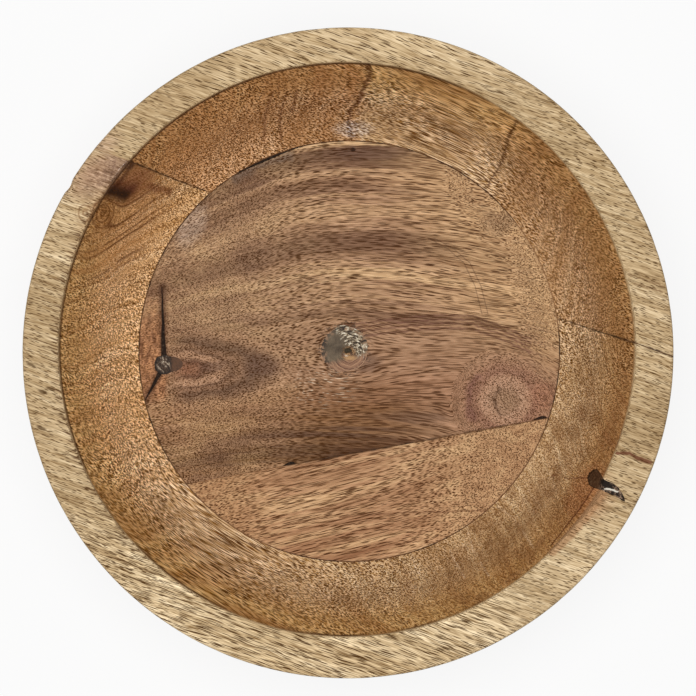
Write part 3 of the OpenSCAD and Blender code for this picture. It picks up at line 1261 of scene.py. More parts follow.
def upper_marks(place, growth, colour, pores):
    """The dark growth line that crosses the wall twice, and the worn patch below it."""
    fine = ragged(place, 1.8, 1.6)
    x, y = parts(place)[:2]
    below_rim = wall_below_rim(place)
    colour = lay_spots(colour, fine, on_rim, PINK_RIM)
    leaf = rise(x + (clouds(place, (12.0, 12.0, 12.0)) - 0.5) * 20.0, 12.0, 4.0)
    colour = stain(colour, leaf * below_rim, (180, 122, 76), 0.5)
    beyond = rise(x * 0.85 + y * -0.53, 14.0, 26.0)
    colour = stain(colour, beyond * below_rim, (164, 116, 70), 0.5)
    for pixels in LEAF_ARCS_PX:
        colour = stain(colour, stroke(fine, wall_line(pixels), 3.0, 0.0), (108, 64, 38), 0.6)
    frayed = drift(place, (5.0, 0.9, 1.4), (5.0, 0.8, 0.8))
    upper_gum = stroke(frayed, [on_wall(p) for p in GUM_LEFT_PX[:4]], 4.0, 0.2)
    colour = stain(colour, upper_gum * below_rim, (96, 56, 32), 0.85)
    colour = lay_lines(colour, frayed, on_wall, LOWER_GUM)
    colour = lay_spots(colour, fine, on_wall, WORN_PATCH)
    return lay_lines(colour, fine, on_rim, RIM_STREAKS), pores


# Wood of the floor boards

DEEP = (88, 60, 44)
DARK = (114, 82, 60)
MID = (154, 117, 87)
PINK = (156, 115, 86)
TAN = (180, 142, 105)
GOLD = (198, 161, 118)

# Bands of the dark floor board, with their places in millimetres from the seam up to its top edge
BAND_LOW = -56.0
BAND_HIGH = 106.0
FLOOR_BANDS = [
    (-52.0, MID), (-46.0, DEEP), (-40.0, DARK), (-32.0, MID), (-18.0, PINK), (0.0, MID), (9.0, MID),
    (12.5, DARK), (16.0, MID), (21.0, TAN), (27.0, MID), (32.0, GOLD), (36.0, TAN), (40.0, MID),
    (45.0, DARK), (51.0, DARK), (57.0, MID), (62.0, TAN), (69.0, TAN), (73.0, MID), (76.5, DARK),
    (80.0, MID), (84.0, TAN), (88.0, DARK), (93.0, DEEP), (98.0, DARK), (101.0, GOLD),
]
RIGHT_KNOT_PX = (505, 401)
EYE_PX = (176, 369)
EYE_STRETCH = 3.0
CENTRE_KNOT_PX = (346, 350)
DARK_END_PX = (498, 222)
FLECKS_PX = (324, 388)


def round_knot(x, y, pixel, reach, stretch):
    """How far the grain is pushed away from a knot of the floor, up above it and down below it."""
    middle = on_floor(pixel)
    across = (x - middle[0]) / stretch
    up = y - middle[1]
    spread = across * across + up * up + reach * reach
    return up * (reach * reach * -0.92) / spread


def floor_pores(grain, crowd):
    """Short and long pores of a floor board, fewer in some streaks, and the pale fibres between them."""
    short_pores, short_glow = specks(grain, (8.0, 0.6, 0.6), 0.4)
    long_pores, long_glow = specks(grain, (24.0, 0.58, 0.58), 0.38)
    pores = either(short_pores * rise(crowd, 0.26, 0.52), long_pores * 0.8)
    return pores, short_glow + long_glow


# How the grain turns into the floor towards its left, so that lines become dots
DOT_RUN = 24.0
DOT_START = 1.25
DOT_EDGE = -52.0
DOT_SLOPE = DOT_START / DOT_RUN * math.exp(-DOT_EDGE / DOT_RUN)


def dot_dive(place, x):
    """How deep the grain has turned at a place: ever more steeply to the left, then evenly."""
    run = x + (clouds(place, (60.0, 60.0, 60.0), 1.0) - 0.5) * 40.0
    bend = number("EXPONENT", number("MAXIMUM", run, DOT_EDGE) / -DOT_RUN) * DOT_START
    return bend + number("MAXIMUM", DOT_EDGE - run, 0.0) * DOT_SLOPE


def dark_floor_zones(place):
    """Masks and distances of the dark floor board, and the flow of its grain round the knots."""
    x, y, z = parts(place)
    zone = SimpleNamespace(x=x, y=y, z=z)
    zone.left = rise(x, 15.0, -50.0)
    flow = y + x * x * (0.0012 + zone.left * rise(y, 0.0, 95.0) * 0.0032)
    flow = flow + round_knot(x, y, RIGHT_KNOT_PX, 15.0, 1.3)
    flow = flow + round_knot(x, y, CENTRE_KNOT_PX, 12.0, 1.2)
    zone.flow = flow + (clouds(place, (70.0, 16.0, 16.0), 2.0) - 0.5) * 5.0
    zone.warped = ragged(place, 7.0, 5.0)
    zone.knot = distance(zone.warped, on_floor(RIGHT_KNOT_PX), (1.0, 1.0, 1.0))
    zone.eye = distance(zone.warped, on_floor(EYE_PX), (EYE_STRETCH, 1.0, 1.0))
    zone.streaks = clouds(joined(x, zone.flow, z), (90.0, 3.6, 3.6), 3.0, 0.6)
    edge = rise(vector("LENGTH", joined(x, y, 0.0)) + (zone.streaks - 0.5) * 40.0, 82.0, 100.0)
    zone.right_end = edge * rise(x, 45.0, 75.0) * rise(y, -20.0, 15.0)
    zone.dark_end = spot(zone.warped, on_floor(DARK_END_PX), (11.0, 8.0, 30.0))
    zone.in_knot = rise(zone.knot, 28.0, 18.0)
    zone.steep = either(rise(zone.knot, 27.0, 20.0), zone.right_end, zone.dark_end)
    zone.low = rise(y, -6.0, -30.0) * rise(x, 60.0, 10.0)
    return zone


def dark_floor_colour(place, zone, strands):
    """The bands and sides of the dark floor board, before its marks and pores."""
    x, y = zone.x, zone.y
    ribbons = clouds(joined(x, zone.flow, zone.z), (70.0, 1.5, 1.5), 2.0, 0.6)
    level = zone.flow + (strands - 0.5) * 6.0 + (zone.streaks - 0.5) * 22.0 + (ribbons - 0.5) * 9.0
    level = level + round_knot(x, y, EYE_PX, 9.0, EYE_STRETCH)
    span = BAND_HIGH - BAND_LOW
    stops = [((at - BAND_LOW) / span, *tint) for at, tint in FLOOR_BANDS]
    colour = ramp((level - BAND_LOW) / span, *stops)
    patches = clouds(place, (22.0, 11.0, 11.0), 2.0, 0.5)
    mottle = ramp(patches, (0.32, 124, 94, 70), (0.50, 154, 120, 88), (0.68, 180, 146, 106))
    colour = blend(colour, mottle, rise(x, 20.0, -70.0) * 0.55)
    pale = ramp(strands, (0.3, 164, 126, 88), (0.7, 198, 161, 117))
    pale_side = rise(x + y * 0.45, 40.0, 90.0) * rise(y, -12.0, 24.0)
    colour = blend(colour, pale, either(pale_side * 0.75, zone.right_end))
    colour = stain(colour, zone.dark_end, (116, 88, 64), 0.5)
    low_middle = zone.low * rise(x, -40.0, -10.0)
    level = zone.low * -0.22 - low_middle * 0.16 - zone.left * 0.03 + (ribbons - 0.5) * 0.5
    return tone(colour, level)


def dark_floor_wood():
    """Dark heartwood of the floor, with streaks along the grain that bend round the knots."""
    material, place = start_material("dark_floor_wood")
    zone = dark_floor_zones(place)
    x, y, flow = zone.x, zone.y, zone.flow
    dive = dot_dive(place, x) + zone.steep * ((x - 78.0) * 0.6)
    grain = joined(x, flow + (y - flow) * zone.in_knot, zone.z + dive)
    fibres = clouds(grain, (7.0, 0.45, 0.45), 1.0)
    strands = clouds(grain, (44.0, 0.9, 0.9), 2.0, 0.6)
    pores, glow = floor_pores(grain, clouds(grain, (40.0, 4.0, 9.0), 2.0))
    colour = dark_floor_colour(place, zone, strands)
    colour = knot_rings(zone.knot, zone.eye, x, colour)
    colour = right_knot_marks(zone.warped, colour)
    colour, pores = floor_marks(place, x, y, zone.streaks, colour, pores)
    low_left = zone.low * zone.left
    wild = zone.left * 0.3 + low_left * 0.6 + 1.4
    shine = glow * (low_left * 0.2 + 0.18)
    colour = tone(colour, (fibres - 0.5) * wild + (strands - 0.5) * 0.4 + shine)
    lines = fine_lines(strands) * (1.0 - either(zone.in_knot, zone.left * 0.7)) * 0.5
    lined = rise(x, -20.0, 25.0) * (1.0 - zone.steep)
    dark = blend(paint(70, 38, 8), paint(78, 46, 24), lined)
    colour = blend(colour, dark, either(pores, lines))
    flecks = rise(fibres, 0.62, 0.72) * spot(zone.warped, on_floor(FLECKS_PX), (22.0, 14.0, 30.0))
    colour = stain(colour, flecks, (226, 208, 182), 0.7)
    return end_floor_wood(material, place, colour, fibres, strands, pores)


def end_floor_wood(material, place, colour, fibres, strands, pores):
    """Ends the wood of a floor board, with its seam and the fine turned rings about the floor's middle."""
    colour = seam_shadow(place, FLOOR_SEAM_ANGLE, FLOOR_SEAM_OFFSET, colour, faint_floor_seam(place))
    x, y = parts(place)[:2]
    radius = vector("LENGTH", joined(x, y, 0.0))
    lathe_marks = clouds(joined(radius, 0.0, 0.0), (0.8, 1.0, 1.0), 1.0)
    height = pores * -0.14 + fibres * 0.07 + strands * 0.04 + lathe_marks * 0.05
    return end_wood(material, colour, fibres, pores, height)


# Colours outwards from the middle of the right knot, and of the eye that ends in the left knot
KNOT_REACH = 30.0
KNOT_RINGS = [
    (0.00, 150, 119, 91), (0.20, 146, 114, 88), (0.25, 174, 137, 109), (0.40, 170, 130, 102),
    (0.47, 134, 95, 75), (0.60, 146, 106, 82), (0.76, 164, 124, 96), (1.00, 164, 125, 95),
]
EYE_REACH = 24.0
EYE_OVALS = [
    (0.00, 122, 76, 54), (0.14, 130, 88, 64), (0.20, 92, 60, 44), (0.27, 164, 125, 95),
    (0.34, 160, 122, 93), (0.38, 96, 68, 50), (0.44, 132, 98, 73), (0.54, 86, 62, 46),
    (0.65, 112, 83, 62), (0.78, 172, 132, 98), (1.00, 168, 130, 98),
]


def knot_rings(knot, eye, x, colour):
    """The rings of the right knot, and the long ovals that end in the left knot."""
    colour = blend(colour, ramp(knot / KNOT_REACH, *KNOT_RINGS), rise(knot, 27.0, 14.0) * 0.75)
    right_side = rise(x, on_floor(EYE_PX).x - 6.0, on_floor(EYE_PX).x + 6.0)
    return blend(colour, ramp(eye / EYE_REACH, *EYE_OVALS), rise(eye, 22.0, 13.0) * right_side * 0.8)


RIGHT_KNOT_ARCS = [
    (((476, 378), (469, 392), (468, 406), (473, 420)), 7.0, 0.0, (112, 74, 62), 0.75),
    (((499, 387), (494, 397), (495, 408), (501, 415)), 2.6, 0.0, (100, 74, 56), 0.8),
]
SMALL_KNOT_PX = (544, 397)


def right_knot_marks(warped, colour):
    """The dark crescents of the right knot, and the small knot beside it."""
    colour = lay_lines(colour, warped, on_floor, RIGHT_KNOT_ARCS)
    beside = on_floor(SMALL_KNOT_PX)
    colour = stain(colour, spot(warped, beside, (10.0, 9.0, 30.0)), (160, 112, 84), 0.6)
    return stain(colour, ring_lines(warped, beside, (1.0, 1.0, 9.0), 3.0, 8.0), (112, 76, 58), 0.5)


# Marks of the dark floor board, by pixel
DARK_FLOOR_SPOTS = [
    (pixel, (wide, high, 30.0), 0.0, 0.4, (96, 70, 56), 0.6)
    for pixel, wide, high in (
        ((366, 362), 10.0, 7.0), ((372, 152), 26.0, 5.0), ((262, 366), 13.0, 8.0), ((212, 367), 8.0, 4.0),
    )
]
DARK_BUNDLE_PX = ((236, 448), (340, 432), (440, 416))
WAVY_LINE_PX = ((344, 325), (406, 318), (440, 315), (473, 316), (508, 329), (530, 339))
WAVY_LINES = [
    ([(px, py + lower) for px, py in WAVY_LINE_PX], 2.0, 0.1, (92, 56, 44), 0.65)
    for lower in (0, 4, 8, 13)
]
SCRATCH_PX = ((428, 238), (448, 249), (464, 263), (475, 286), (482, 314))
SCRATCHES = [
    ([(px + shift, py) for px, py in SCRATCH_PX], 0.7, 0.5, (96, 70, 50), 0.5)
    for shift in (0, 6)
]
GAP_SHADOW = [(((236, 178), (256, 165), (288, 156)), 8.0, 0.1, (96, 80, 68), 0.65)]
HAZE = [((192, 226), (8.0, 16.0, 30.0), -30.0, 0.4, (180, 158, 138), 0.4)]
WORM_HOLE = [((353, 149.6), (1.7, 1.5, 9.0), 0.0, 0.4, (34, 22, 16), 1.0)]


def floor_marks(place, x, y, streaks, colour, pores):
    """The stains, lines and scratches of the dark floor board."""
    fine = ragged(place, 3.0, 1.6)
    torn = ragged(place, 5.0, 4.0)
    uneven = clouds(place, (5.0, 9.0, 9.0), 2.0)
    side = rise(x + (uneven - 0.5) * 5.0, -88.6, -92.4) * rise(y, -27.0, -20.0) * rise(y, 34.0, 8.0)
    patchy = clouds(place, (2.2, 5.0, 5.0), 3.0, 0.6)
    strip = ramp(patchy, (0.35, 104, 62, 36), (0.65, 184, 130, 88))
    colour = blend(colour, strip, side * 0.75)
    colour = lay_spots(colour, torn, on_floor, DARK_FLOOR_SPOTS)
    bundle = stroke(torn, [on_floor(p) for p in DARK_BUNDLE_PX], 17.0, 0.1) * rise(streaks, 0.56, 0.42)
    colour = stain(colour, bundle, (88, 62, 46), 0.6)
    colour = lay_lines(colour, fine, on_floor, WAVY_LINES)
    colour = lay_lines(colour, place, on_floor, SCRATCHES)
    upper, lower = (on_circle(LEFT_KNOT_AT, length, angle) for length, angle in (CRACK_UPPER, CRACK_LOWER))
    crack = [Vector((*p, FLOOR_Z)) for p in (upper, LEFT_KNOT_AT, lower)]
    colour = stain(colour, stroke(fine, crack, 6.5, 0.1), (56, 30, 20), 0.7)
    round_fill = distance(torn, (*CENTRE_POCKET_AT, FLOOR_Z))
    frayed = rise(clouds(place, (1.6, 1.1, 1.6), 2.0, 0.6), 0.5, 0.42) * rise(round_fill, 15.0, 12.0)
    colour = stain(colour, frayed, (70, 52, 40), 0.8)
    colour = lay_lines(colour, torn, on_floor, GAP_SHADOW)
    colour = lay_spots(colour, torn, on_floor, HAZE)
    return lay_spots(colour, place, on_floor, WORM_HOLE), pores * (1.0 - side * 0.2)


LIGHT_LINE = [(((340, 517), (400, 513), (440, 512), (486, 510)), 1.2, 0.5, (104, 64, 40), 0.55)]


def light_floor_wood():
    """Orange-tan wood of the lower floor board, with reddish dashes."""
    material, place = start_material("light_floor_wood")
    x = parts(place)[0]
    along, across, up = parts(drift(turned(place, 13.0), (110.0, 26.0, 26.0), (0.0, 6.0, 6.0)))
    dive = number("EXPONENT", number("MINIMUM", x - 70.0, 0.0) / 26.0) * 17.0
    dive = dive + number("MAXIMUM", x - 70.0, 0.0) * 0.65
    dive = dive + number("EXPONENT", number("MINIMUM", -60.0 - x, 0.0) / 18.0) * 5.4
    dive = dive + number("MAXIMUM", -60.0 - x, 0.0) * 0.3
    grain = joined(along, across, up + dive)
    bands = clouds(grain, (120.0, 5.0, 5.0), 3.0, 0.6)
    fibres = clouds(grain, (7.0, 0.45, 0.45), 1.0)
    strands = clouds(grain, (44.0, 0.9, 0.9), 2.0, 0.6)
    pores, glow = floor_pores(grain, clouds(grain, (50.0, 4.0, 4.0), 2.0))
    colour = ramp(bands, (0.30, 134, 92, 62), (0.48, 164, 123, 88), (0.66, 192, 154, 112))
    colour = stain(colour, rise(x, -30.0, -60.0), (158, 118, 80), 0.6)
    colour = stain(colour, rise(x, 15.0, 65.0), (178, 139, 98), 0.5)
    colour = lay_lines(colour, ragged(place, 3.0, 1.6), on_floor, LIGHT_LINE)
    colour = tone(colour, (fibres - 0.5) * 1.3 + (strands - 0.5) * 0.4 + glow * 0.2)
    colour = blend(colour, paint(72, 34, 4), either(pores, fine_lines(strands) * 0.5))
    return end_floor_wood(material, place, colour, fibres, strands, pores)


# Glue, knots and fillers

def glue_line():
    """Dark brown, uneven glue that pales at the floor's upper right edge."""
    material, place = start_material("glue_line")
    patches = clouds(place, (4.0, 4.0, 4.0), 3.0)
    colour = ramp(patches, (0.38, 46, 28, 16), (0.62, 104, 70, 42))
    faint = spot(place, on_floor((545, 262)), (34.0, 46.0, 60.0), -20.0)
    low_left = spot(place, on_floor((232, 526)), (44.0, 30.0, 30.0), -40.0, 0.3)
    low_right = spot(place, on_floor((500, 480)), (46.0, 46.0, 30.0))
    colour = stain(colour, faint, (150, 112, 76), 0.9)
    colour = stain(colour, low_right, (116, 80, 50), 0.7)
    colour = stain(colour, either(faint_floor_seam(place), low_left * 0.7), (138, 100, 68), 0.9)
    colour = stain(colour, hidden_rim_seam(place), (172, 138, 102), 0.95)
    return end_material(material, colour, 0.6 + patches * 0.2, patches * 0.1, 0.1)


# Painted highlight: a white glint beside the centre knot's hollow
KNOT_HOLLOW_HIGHLIGHT = [(((343, 352), (345, 355), (348, 356)), 1.0, 0.3, (232, 222, 202), 0.9)]
PALE_WOOD = [((350, 358), (4.4, 1.6, 3.0), 0.0, 0.4, (190, 150, 100), 0.6)]


def centre_knot_wood():
    """The hard tan wood of the centre knot, with dark cracks, a hollow darkened with painted shade, a painted
    highlight beside it, and filler over its edge.
    """
    material, place = start_material("centre_knot_wood")
    y, z = parts(place)[1:]
    patches = clouds(place, (1.3, 1.0, 1.3), 3.0, 0.65)
    reach = distance(place, (*CENTRE_KNOT_AT, FLOOR_Z))
    colour = ramp(patches, (0.40, 62, 44, 30), (0.50, 134, 100, 68), (0.64, 190, 150, 104))
    low = rise(y + (patches - 0.5) * 4.0, CENTRE_KNOT_AT[1] - 0.5, CENTRE_KNOT_AT[1] - 3.5)
    colour = blend(colour, knot_arcs(place), low)
    filler = filler_colour(place)[0]
    colour = blend(colour, filler, rise(reach + (patches - 0.5) * 9.0, 2.6, 4.2))
    # Painted shade: the knot's top darkens where it sinks below the floor's level into its hollow
    hollow = rise(z, FLOOR_Z - 0.5, FLOOR_Z - 0.9)
    colour = stain(colour, hollow, (46, 40, 26), 0.95)
    fine = ragged(place, 1.5, 1.2)
    # Painted highlight beside the hollow
    colour = lay_lines(colour, fine, on_floor, KNOT_HOLLOW_HIGHLIGHT)
    colour = lay_spots(colour, fine, on_floor, PALE_WOOD)
    return end_material(material, colour, 0.5 + patches * 0.2, patches * 0.3, 0.2)


def knot_arcs(place):
    """Thin reddish-brown rings about the centre knot."""
    reach = distance(ragged(place, 3.0, 1.5), (*CENTRE_KNOT_AT, FLOOR_Z))
    arcs = clouds(joined(reach, 0.0, 0.0), (0.75, 1.0, 1.0), 2.0, 0.6)
    return ramp(arcs, (0.36, 88, 58, 44), (0.50, 140, 102, 78), (0.64, 178, 140, 108))


def left_knot_wood():
    """The black left knot, with pale streaks in its middle and a smooth olive tail."""
    material, place = start_material("left_knot_wood")
    x = parts(place)[0]
    grains = clouds(turned(place, -60.0), (1.9, 0.75, 0.75), 2.0, 0.65)
    colour = ramp(grains, (0.38, 36, 26, 18), (0.54, 80, 62, 48), (0.70, 186, 172, 152))
    edge = spot(place, (*LEFT_KNOT_AT, FLOOR_Z), (LEFT_KNOT_R, LEFT_KNOT_R, 9.0), 0.0, 0.6)
    colour = blend(paint(30, 21, 15), colour, edge)
    tail = rise(x + (grains - 0.5) * 2.0, LEFT_KNOT_AT[0] + 2.6, LEFT_KNOT_AT[0] + 4.6)
    colour = blend(colour, ramp(grains, (0.3, 74, 50, 34), (0.7, 96, 68, 48)), tail)
    return end_material(material, colour, 0.5 + grains * 0.25, grains * 0.3, 0.2)


def filler_colour(place):
    """Colour and streaks round the centre knot: grey-brown at upper left, streaked white at upper right."""
    away = vector("SUBTRACT", ragged(place, 2.0, 1.2), (*CENTRE_KNOT_AT, FLOOR_Z))
    side, up = parts(away)[:2]
    turn = number("ARCTAN2", up, side)
    streaks = clouds(joined(vector("LENGTH", away), turn * 7.0, 0.0), (0.85, 2.0, 1.0), 2.0, 0.6)
    broken = ramp(
        streaks, (0.40, 40, 30, 22), (0.49, 104, 88, 68), (0.57, 172, 156, 130), (0.68, 236, 228, 208)
    )
    plain = ramp(clouds(place, (5.0, 5.0, 5.0), 3.0, 0.6), (0.35, 72, 60, 46), (0.65, 108, 93, 74))
    rim_side = distance(ragged(place, 2.4, 1.6), (*CENTRE_POCKET_AT, FLOOR_Z))
    plain = stain(plain, rise(rim_side, 8.5, 11.5), (44, 34, 26), 0.8)
    diagonal = side * 0.8 + up * 0.6
    colour = blend(plain, broken, rise(diagonal + (streaks - 0.5) * 5.0, 0.0, 4.0))
    low = rise(up - side * 0.25 + (streaks - 0.5) * 5.0, -1.0, -4.5)
    colour = blend(colour, knot_arcs(place), low)
    worn = rise(clouds(place, (1.6, 1.1, 1.6), 2.0, 0.6), 0.5, 0.6) * rise(rim_side, 8.0, 11.0)
    return stain(colour, worn, (158, 124, 96), 0.8), streaks


def grey_filler():
    """Filler of the pocket round the centre knot."""
    material, place = start_material("grey_filler")
    colour, streaks = filler_colour(place)
    return end_material(material, colour, 0.5 + streaks * 0.2, streaks * 0.25, 0.2)


def black_filler():
    """Nearly black filler with grey specks."""
    material, place = start_material("black_filler")
    patches = clouds(place, (1.1, 1.1, 1.1), 3.0, 0.65)
    colour = ramp(patches, (0.42, 30, 20, 14), (0.60, 46, 34, 26), (0.80, 98, 84, 70))
    return end_material(material, colour, 0.6 + patches * 0.25, patches * 0.25, 0.08)


FILLER_SINK = 0.7
BLACK_SPOT = [((606, 484), (4.6, 2.2, 9.0), -25.0, 0.5, (30, 24, 20), 0.95)]
WHITE_STREAK_PX = ((599.5, 490), (607, 488.7), (613, 490.3), (617.5, 491.8))


def rim_filler():
    """Filler of the rim's hollow: grey-brown on the wall, black with a white streak on the rim."""
    material, place = start_material("rim_filler")
    z = parts(place)[2]
    fine = ragged(place, 1.4, 0.9)
    patches = clouds(place, (1.2, 1.2, 1.2), 3.0, 0.65)
    colour = ramp(patches, (0.32, 50, 30, 16), (0.5, 78, 52, 32), (0.68, 100, 76, 54))
    speckled = ramp(patches, (0.42, 32, 24, 19), (0.54, 84, 68, 56), (0.68, 168, 140, 116))
    colour = blend(colour, speckled, rise(z, HEIGHT - 4.0, HEIGHT - 1.4))
    colour = lay_spots(colour, fine, on_rim, BLACK_SPOT)
    streak = [on_rim(p) - Vector((0, 0, FILLER_SINK)) for p in WHITE_STREAK_PX]
    colour = stain(colour, stroke(fine, streak, 1.1, 0.4), (224, 216, 200), 0.9)
    return end_material(material, colour, 0.6 + patches * 0.25, patches * 0.25, 0.08)


# Pieces

def dress(piece, material, slot, *nodes):
    """Gives a piece its material and puts it in the place of CAD nodes."""
    piece.data.materials.clear()
    piece.data.materials.append(material)
    ease(piece)
    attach(piece, "root")
    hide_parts(*nodes)
    return piece


def sides_of_seam(offset):
    """Limits, across a seam, of the board below it, the board above it and the glue."""
    half = GLUE_T / 2
    reach = 2 * RIM_R
    within = (offset - half + GLUE_FIT, offset + half - GLUE_FIT)
    return (-reach, offset - half), (offset + half, reach), within


def part_blank(blank, angle, limits):
    """Parts a blank along a seam into boards and glue."""
    boards = {}
    for name, (start, end) in limits.items():
        boards[name] = cut(copy_of(blank, name), slab("tool", angle, start, end), "INTERSECT")
    bpy.data.objects.remove(blank)
    return boards


def make_ring():
    """The two wall boards and the glue between them."""
    below, above, within = sides_of_seam(RING_SEAM_OFFSET)
    limits = {"lower_wall_board": below, "upper_wall_board": above, "wall_seam": within}
    boards = part_blank(ring_blank("ring_blank"), RING_SEAM_ANGLE, limits)
    cut(boards["lower_wall_board"], rim_knot_tool("tool", FIT), "DIFFERENCE")
    return boards


def make_floor():
    """The two floor boards with their pockets, and the glue between them."""
    below, above, within = sides_of_seam(FLOOR_SEAM_OFFSET)
    limits = {"dark_floor_board": above, "light_floor_board": below, "floor_seam": within}
    boards = part_blank(floor_blank("floor_blank"), FLOOR_SEAM_ANGLE, limits)
    dark = boards["dark_floor_board"]
    lift = FLOOR_Z + TOOL_LIFT
    cut(dark, prism("tool", centre_pocket_outline(), FLOOR_Z - CENTRE_POCKET_DEPTH, lift), "DIFFERENCE")
    cut(dark, prism("tool", left_knot_outline(), FLOOR_Z - LEFT_KNOT_DEPTH, lift), "DIFFERENCE")
    for length, angle in (CRACK_UPPER, CRACK_LOWER):
        path, widths = crack_path(length, angle, LEFT_KNOT_R - CRACK_OVERLAP)
        cut(dark, ribbon_tool(path, widths, LEFT_KNOT_DEPTH), "DIFFERENCE")
    path, widths = edge_gap_path()
    cut(dark, ribbon_tool(path, widths, EDGE_GAP_DEPTH), "DIFFERENCE")
    for gap in SEAM_GAPS.values():
        path, widths = seam_gap_path(*gap)
        cut(dark, ribbon_tool(path, widths, GAP_DEPTH), "DIFFERENCE")
    return boards


# Tops of knots and fillers: how far they are sunk in the floor, and how high and wide their roughness is
KNOT_HOLE_PX = (348, 350.5)
KNOT_HOLE_SIZE = (2.0, 1.3)
KNOT_HOLE_DEPTH = 1.1
KNOT_SINK = 0.25
KNOT_ROUGH = 0.18
KNOT_LUMP = 1.6
FILL_SINK = 0.15
FILL_SMOOTH = 0.06
FILL_BROKEN = 0.4
FILL_LUMP = 1.3
FILL_EDGE = 2.0
BLACK_SINK = 0.35
BLACK_ROUGH = 0.18
BLACK_LUMP = 1.2
BLACK_RISE = 0.1
TAIL_START = 3.0
TAIL_RUN = 3.0
LEFT_SINK = 0.2
LEFT_ROUGH = 0.3
LEFT_LUMP = 1.1


def knot_top(x, y, share):
    """Top of the centre knot: rough, with a hollow beside its middle."""
    hole = on_floor(KNOT_HOLE_PX)
    wide, high = KNOT_HOLE_SIZE
    hollow = math.exp(-((x - hole.x) / wide) ** 2 - ((y - hole.y) / high) ** 2)
    return FLOOR_Z - KNOT_SINK - KNOT_HOLE_DEPTH * hollow + KNOT_ROUGH * rough(x, y, KNOT_LUMP, 2.0)


def filler_top(x, y, share):
    """Top of the centre knot's filler: smooth at upper left, broken at upper right."""
    right = smooth((x - CENTRE_POCKET_AT[0] + FILL_EDGE) / (2 * FILL_EDGE))
    upper = smooth((y - CENTRE_POCKET_AT[1] + FILL_EDGE) / (2 * FILL_EDGE))
    height = FILL_SMOOTH + FILL_BROKEN * (right * upper)
    return FLOOR_Z - FILL_SINK + height * (rough(x, y, FILL_LUMP, 5.0) - 0.4)


def black_top(x, y, share):
    """Top of a black filler, a little sunk and rough."""
    lumps = BLACK_ROUGH * rough(x, y, BLACK_LUMP, 9.0)
    return FLOOR_Z - BLACK_SINK + lumps + BLACK_RISE * abs(2 * share - 1)


def left_knot_top(x, y, share):
    """Top of the left knot: granular, with a smooth tail."""
    tail = smooth((x - LEFT_KNOT_AT[0] - TAIL_START) / TAIL_RUN)
    return FLOOR_Z - LEFT_SINK + LEFT_ROUGH * (1 - tail) * rough(x, y, LEFT_LUMP, 3.0)


def make_centre_knot():
    """The knot in the middle of the floor and the filler round it."""
    knot_edge = centre_knot_outline()
    pocket = centre_pocket_outline()
    pocket_edge = []
    for point in knot_edge:
        heading = math.atan2(point[1] - CENTRE_KNOT_AT[1], point[0] - CENTRE_KNOT_AT[0])
        pocket_edge.append(edge_towards(pocket, CENTRE_KNOT_AT, heading))
    low = FLOOR_Z - CENTRE_POCKET_DEPTH + FIT
    knot = plug("centre_knot_heart", shrunk(knot_edge, CENTRE_KNOT_AT, FIT), CENTRE_KNOT_AT, knot_top, low)
    outer = shrunk(pocket_edge, CENTRE_POCKET_AT, FIT)
    filler = strip("centre_knot_fill", knot_edge, outer, filler_top, low, COLLAR_ROWS, True)
    return knot, filler


def edge_towards(outline, middle, heading):
    """The point of an outline in a direction from a point inside it."""
    ray = Vector((math.cos(heading), math.sin(heading)))
    for a, b in zip(outline, outline[1:] + outline[:1]):
        start = Vector(a) - Vector(middle)
        end = Vector(b) - Vector(middle)
        first = ray.x * start.y - ray.y * start.x
        second = ray.x * end.y - ray.y * end.x
        if first <= 0 < second:
            point = start + (end - start) * (first / (first - second))
            if point.dot(ray) > 0:
                return (point.x + middle[0], point.y + middle[1])
    raise ValueError("the point is outside the outline")


def make_left_knot():
    """The black knot at the left of the floor and the filler in its crack."""
    edge = left_knot_outline()
    low = FLOOR_Z - LEFT_KNOT_DEPTH + FIT
    knot = plug("left_knot_heart", shrunk(edge, LEFT_KNOT_AT, FIT), LEFT_KNOT_AT, left_knot_top, low)
    arms = []
    for length, angle in (CRACK_UPPER, CRACK_LOWER):
        knot_side = edge_towards(edge, LEFT_KNOT_AT, math.radians(angle))
        start = math.dist(knot_side, LEFT_KNOT_AT) + CRACK_GAP
        path, widths = crack_path(length, angle, start)
        arms.append(ribbon("arm", path, widths, black_top, low))
    return knot, joined_up("left_crack_fill", arms)


def joined_up(name, pieces):
    """One object from several."""
    shape = bmesh.new()
    for piece in pieces:
        shape.from_mesh(piece.data)
        bpy.data.objects.remove(piece)
    mesh = bpy.data.meshes.new(name)
    shape.to_mesh(mesh)
    shape.free()
    return new_piece(name, mesh)


def make_gap_fillers():
    """The fillers in the gaps of the floor's seam and edge."""
    low = FLOOR_Z - GAP_DEPTH + FIT
    gaps = [ribbon("gap", *seam_gap_path(*gap), black_top, low) for gap in SEAM_GAPS.values()]
    edge = ribbon("edge_gap_fill", *edge_gap_path(), black_top, FLOOR_Z - EDGE_GAP_DEPTH + FIT)
    return joined_up("seam_gap_fill", gaps), edge


def make_rim_knot():
    """The filler of the hollow at the rim, a little below the bowl's surface."""
    return cut(rim_knot_tool("rim_knot_fill", 0.0), ring_blank("tool", FILLER_SINK), "INTERSECT")


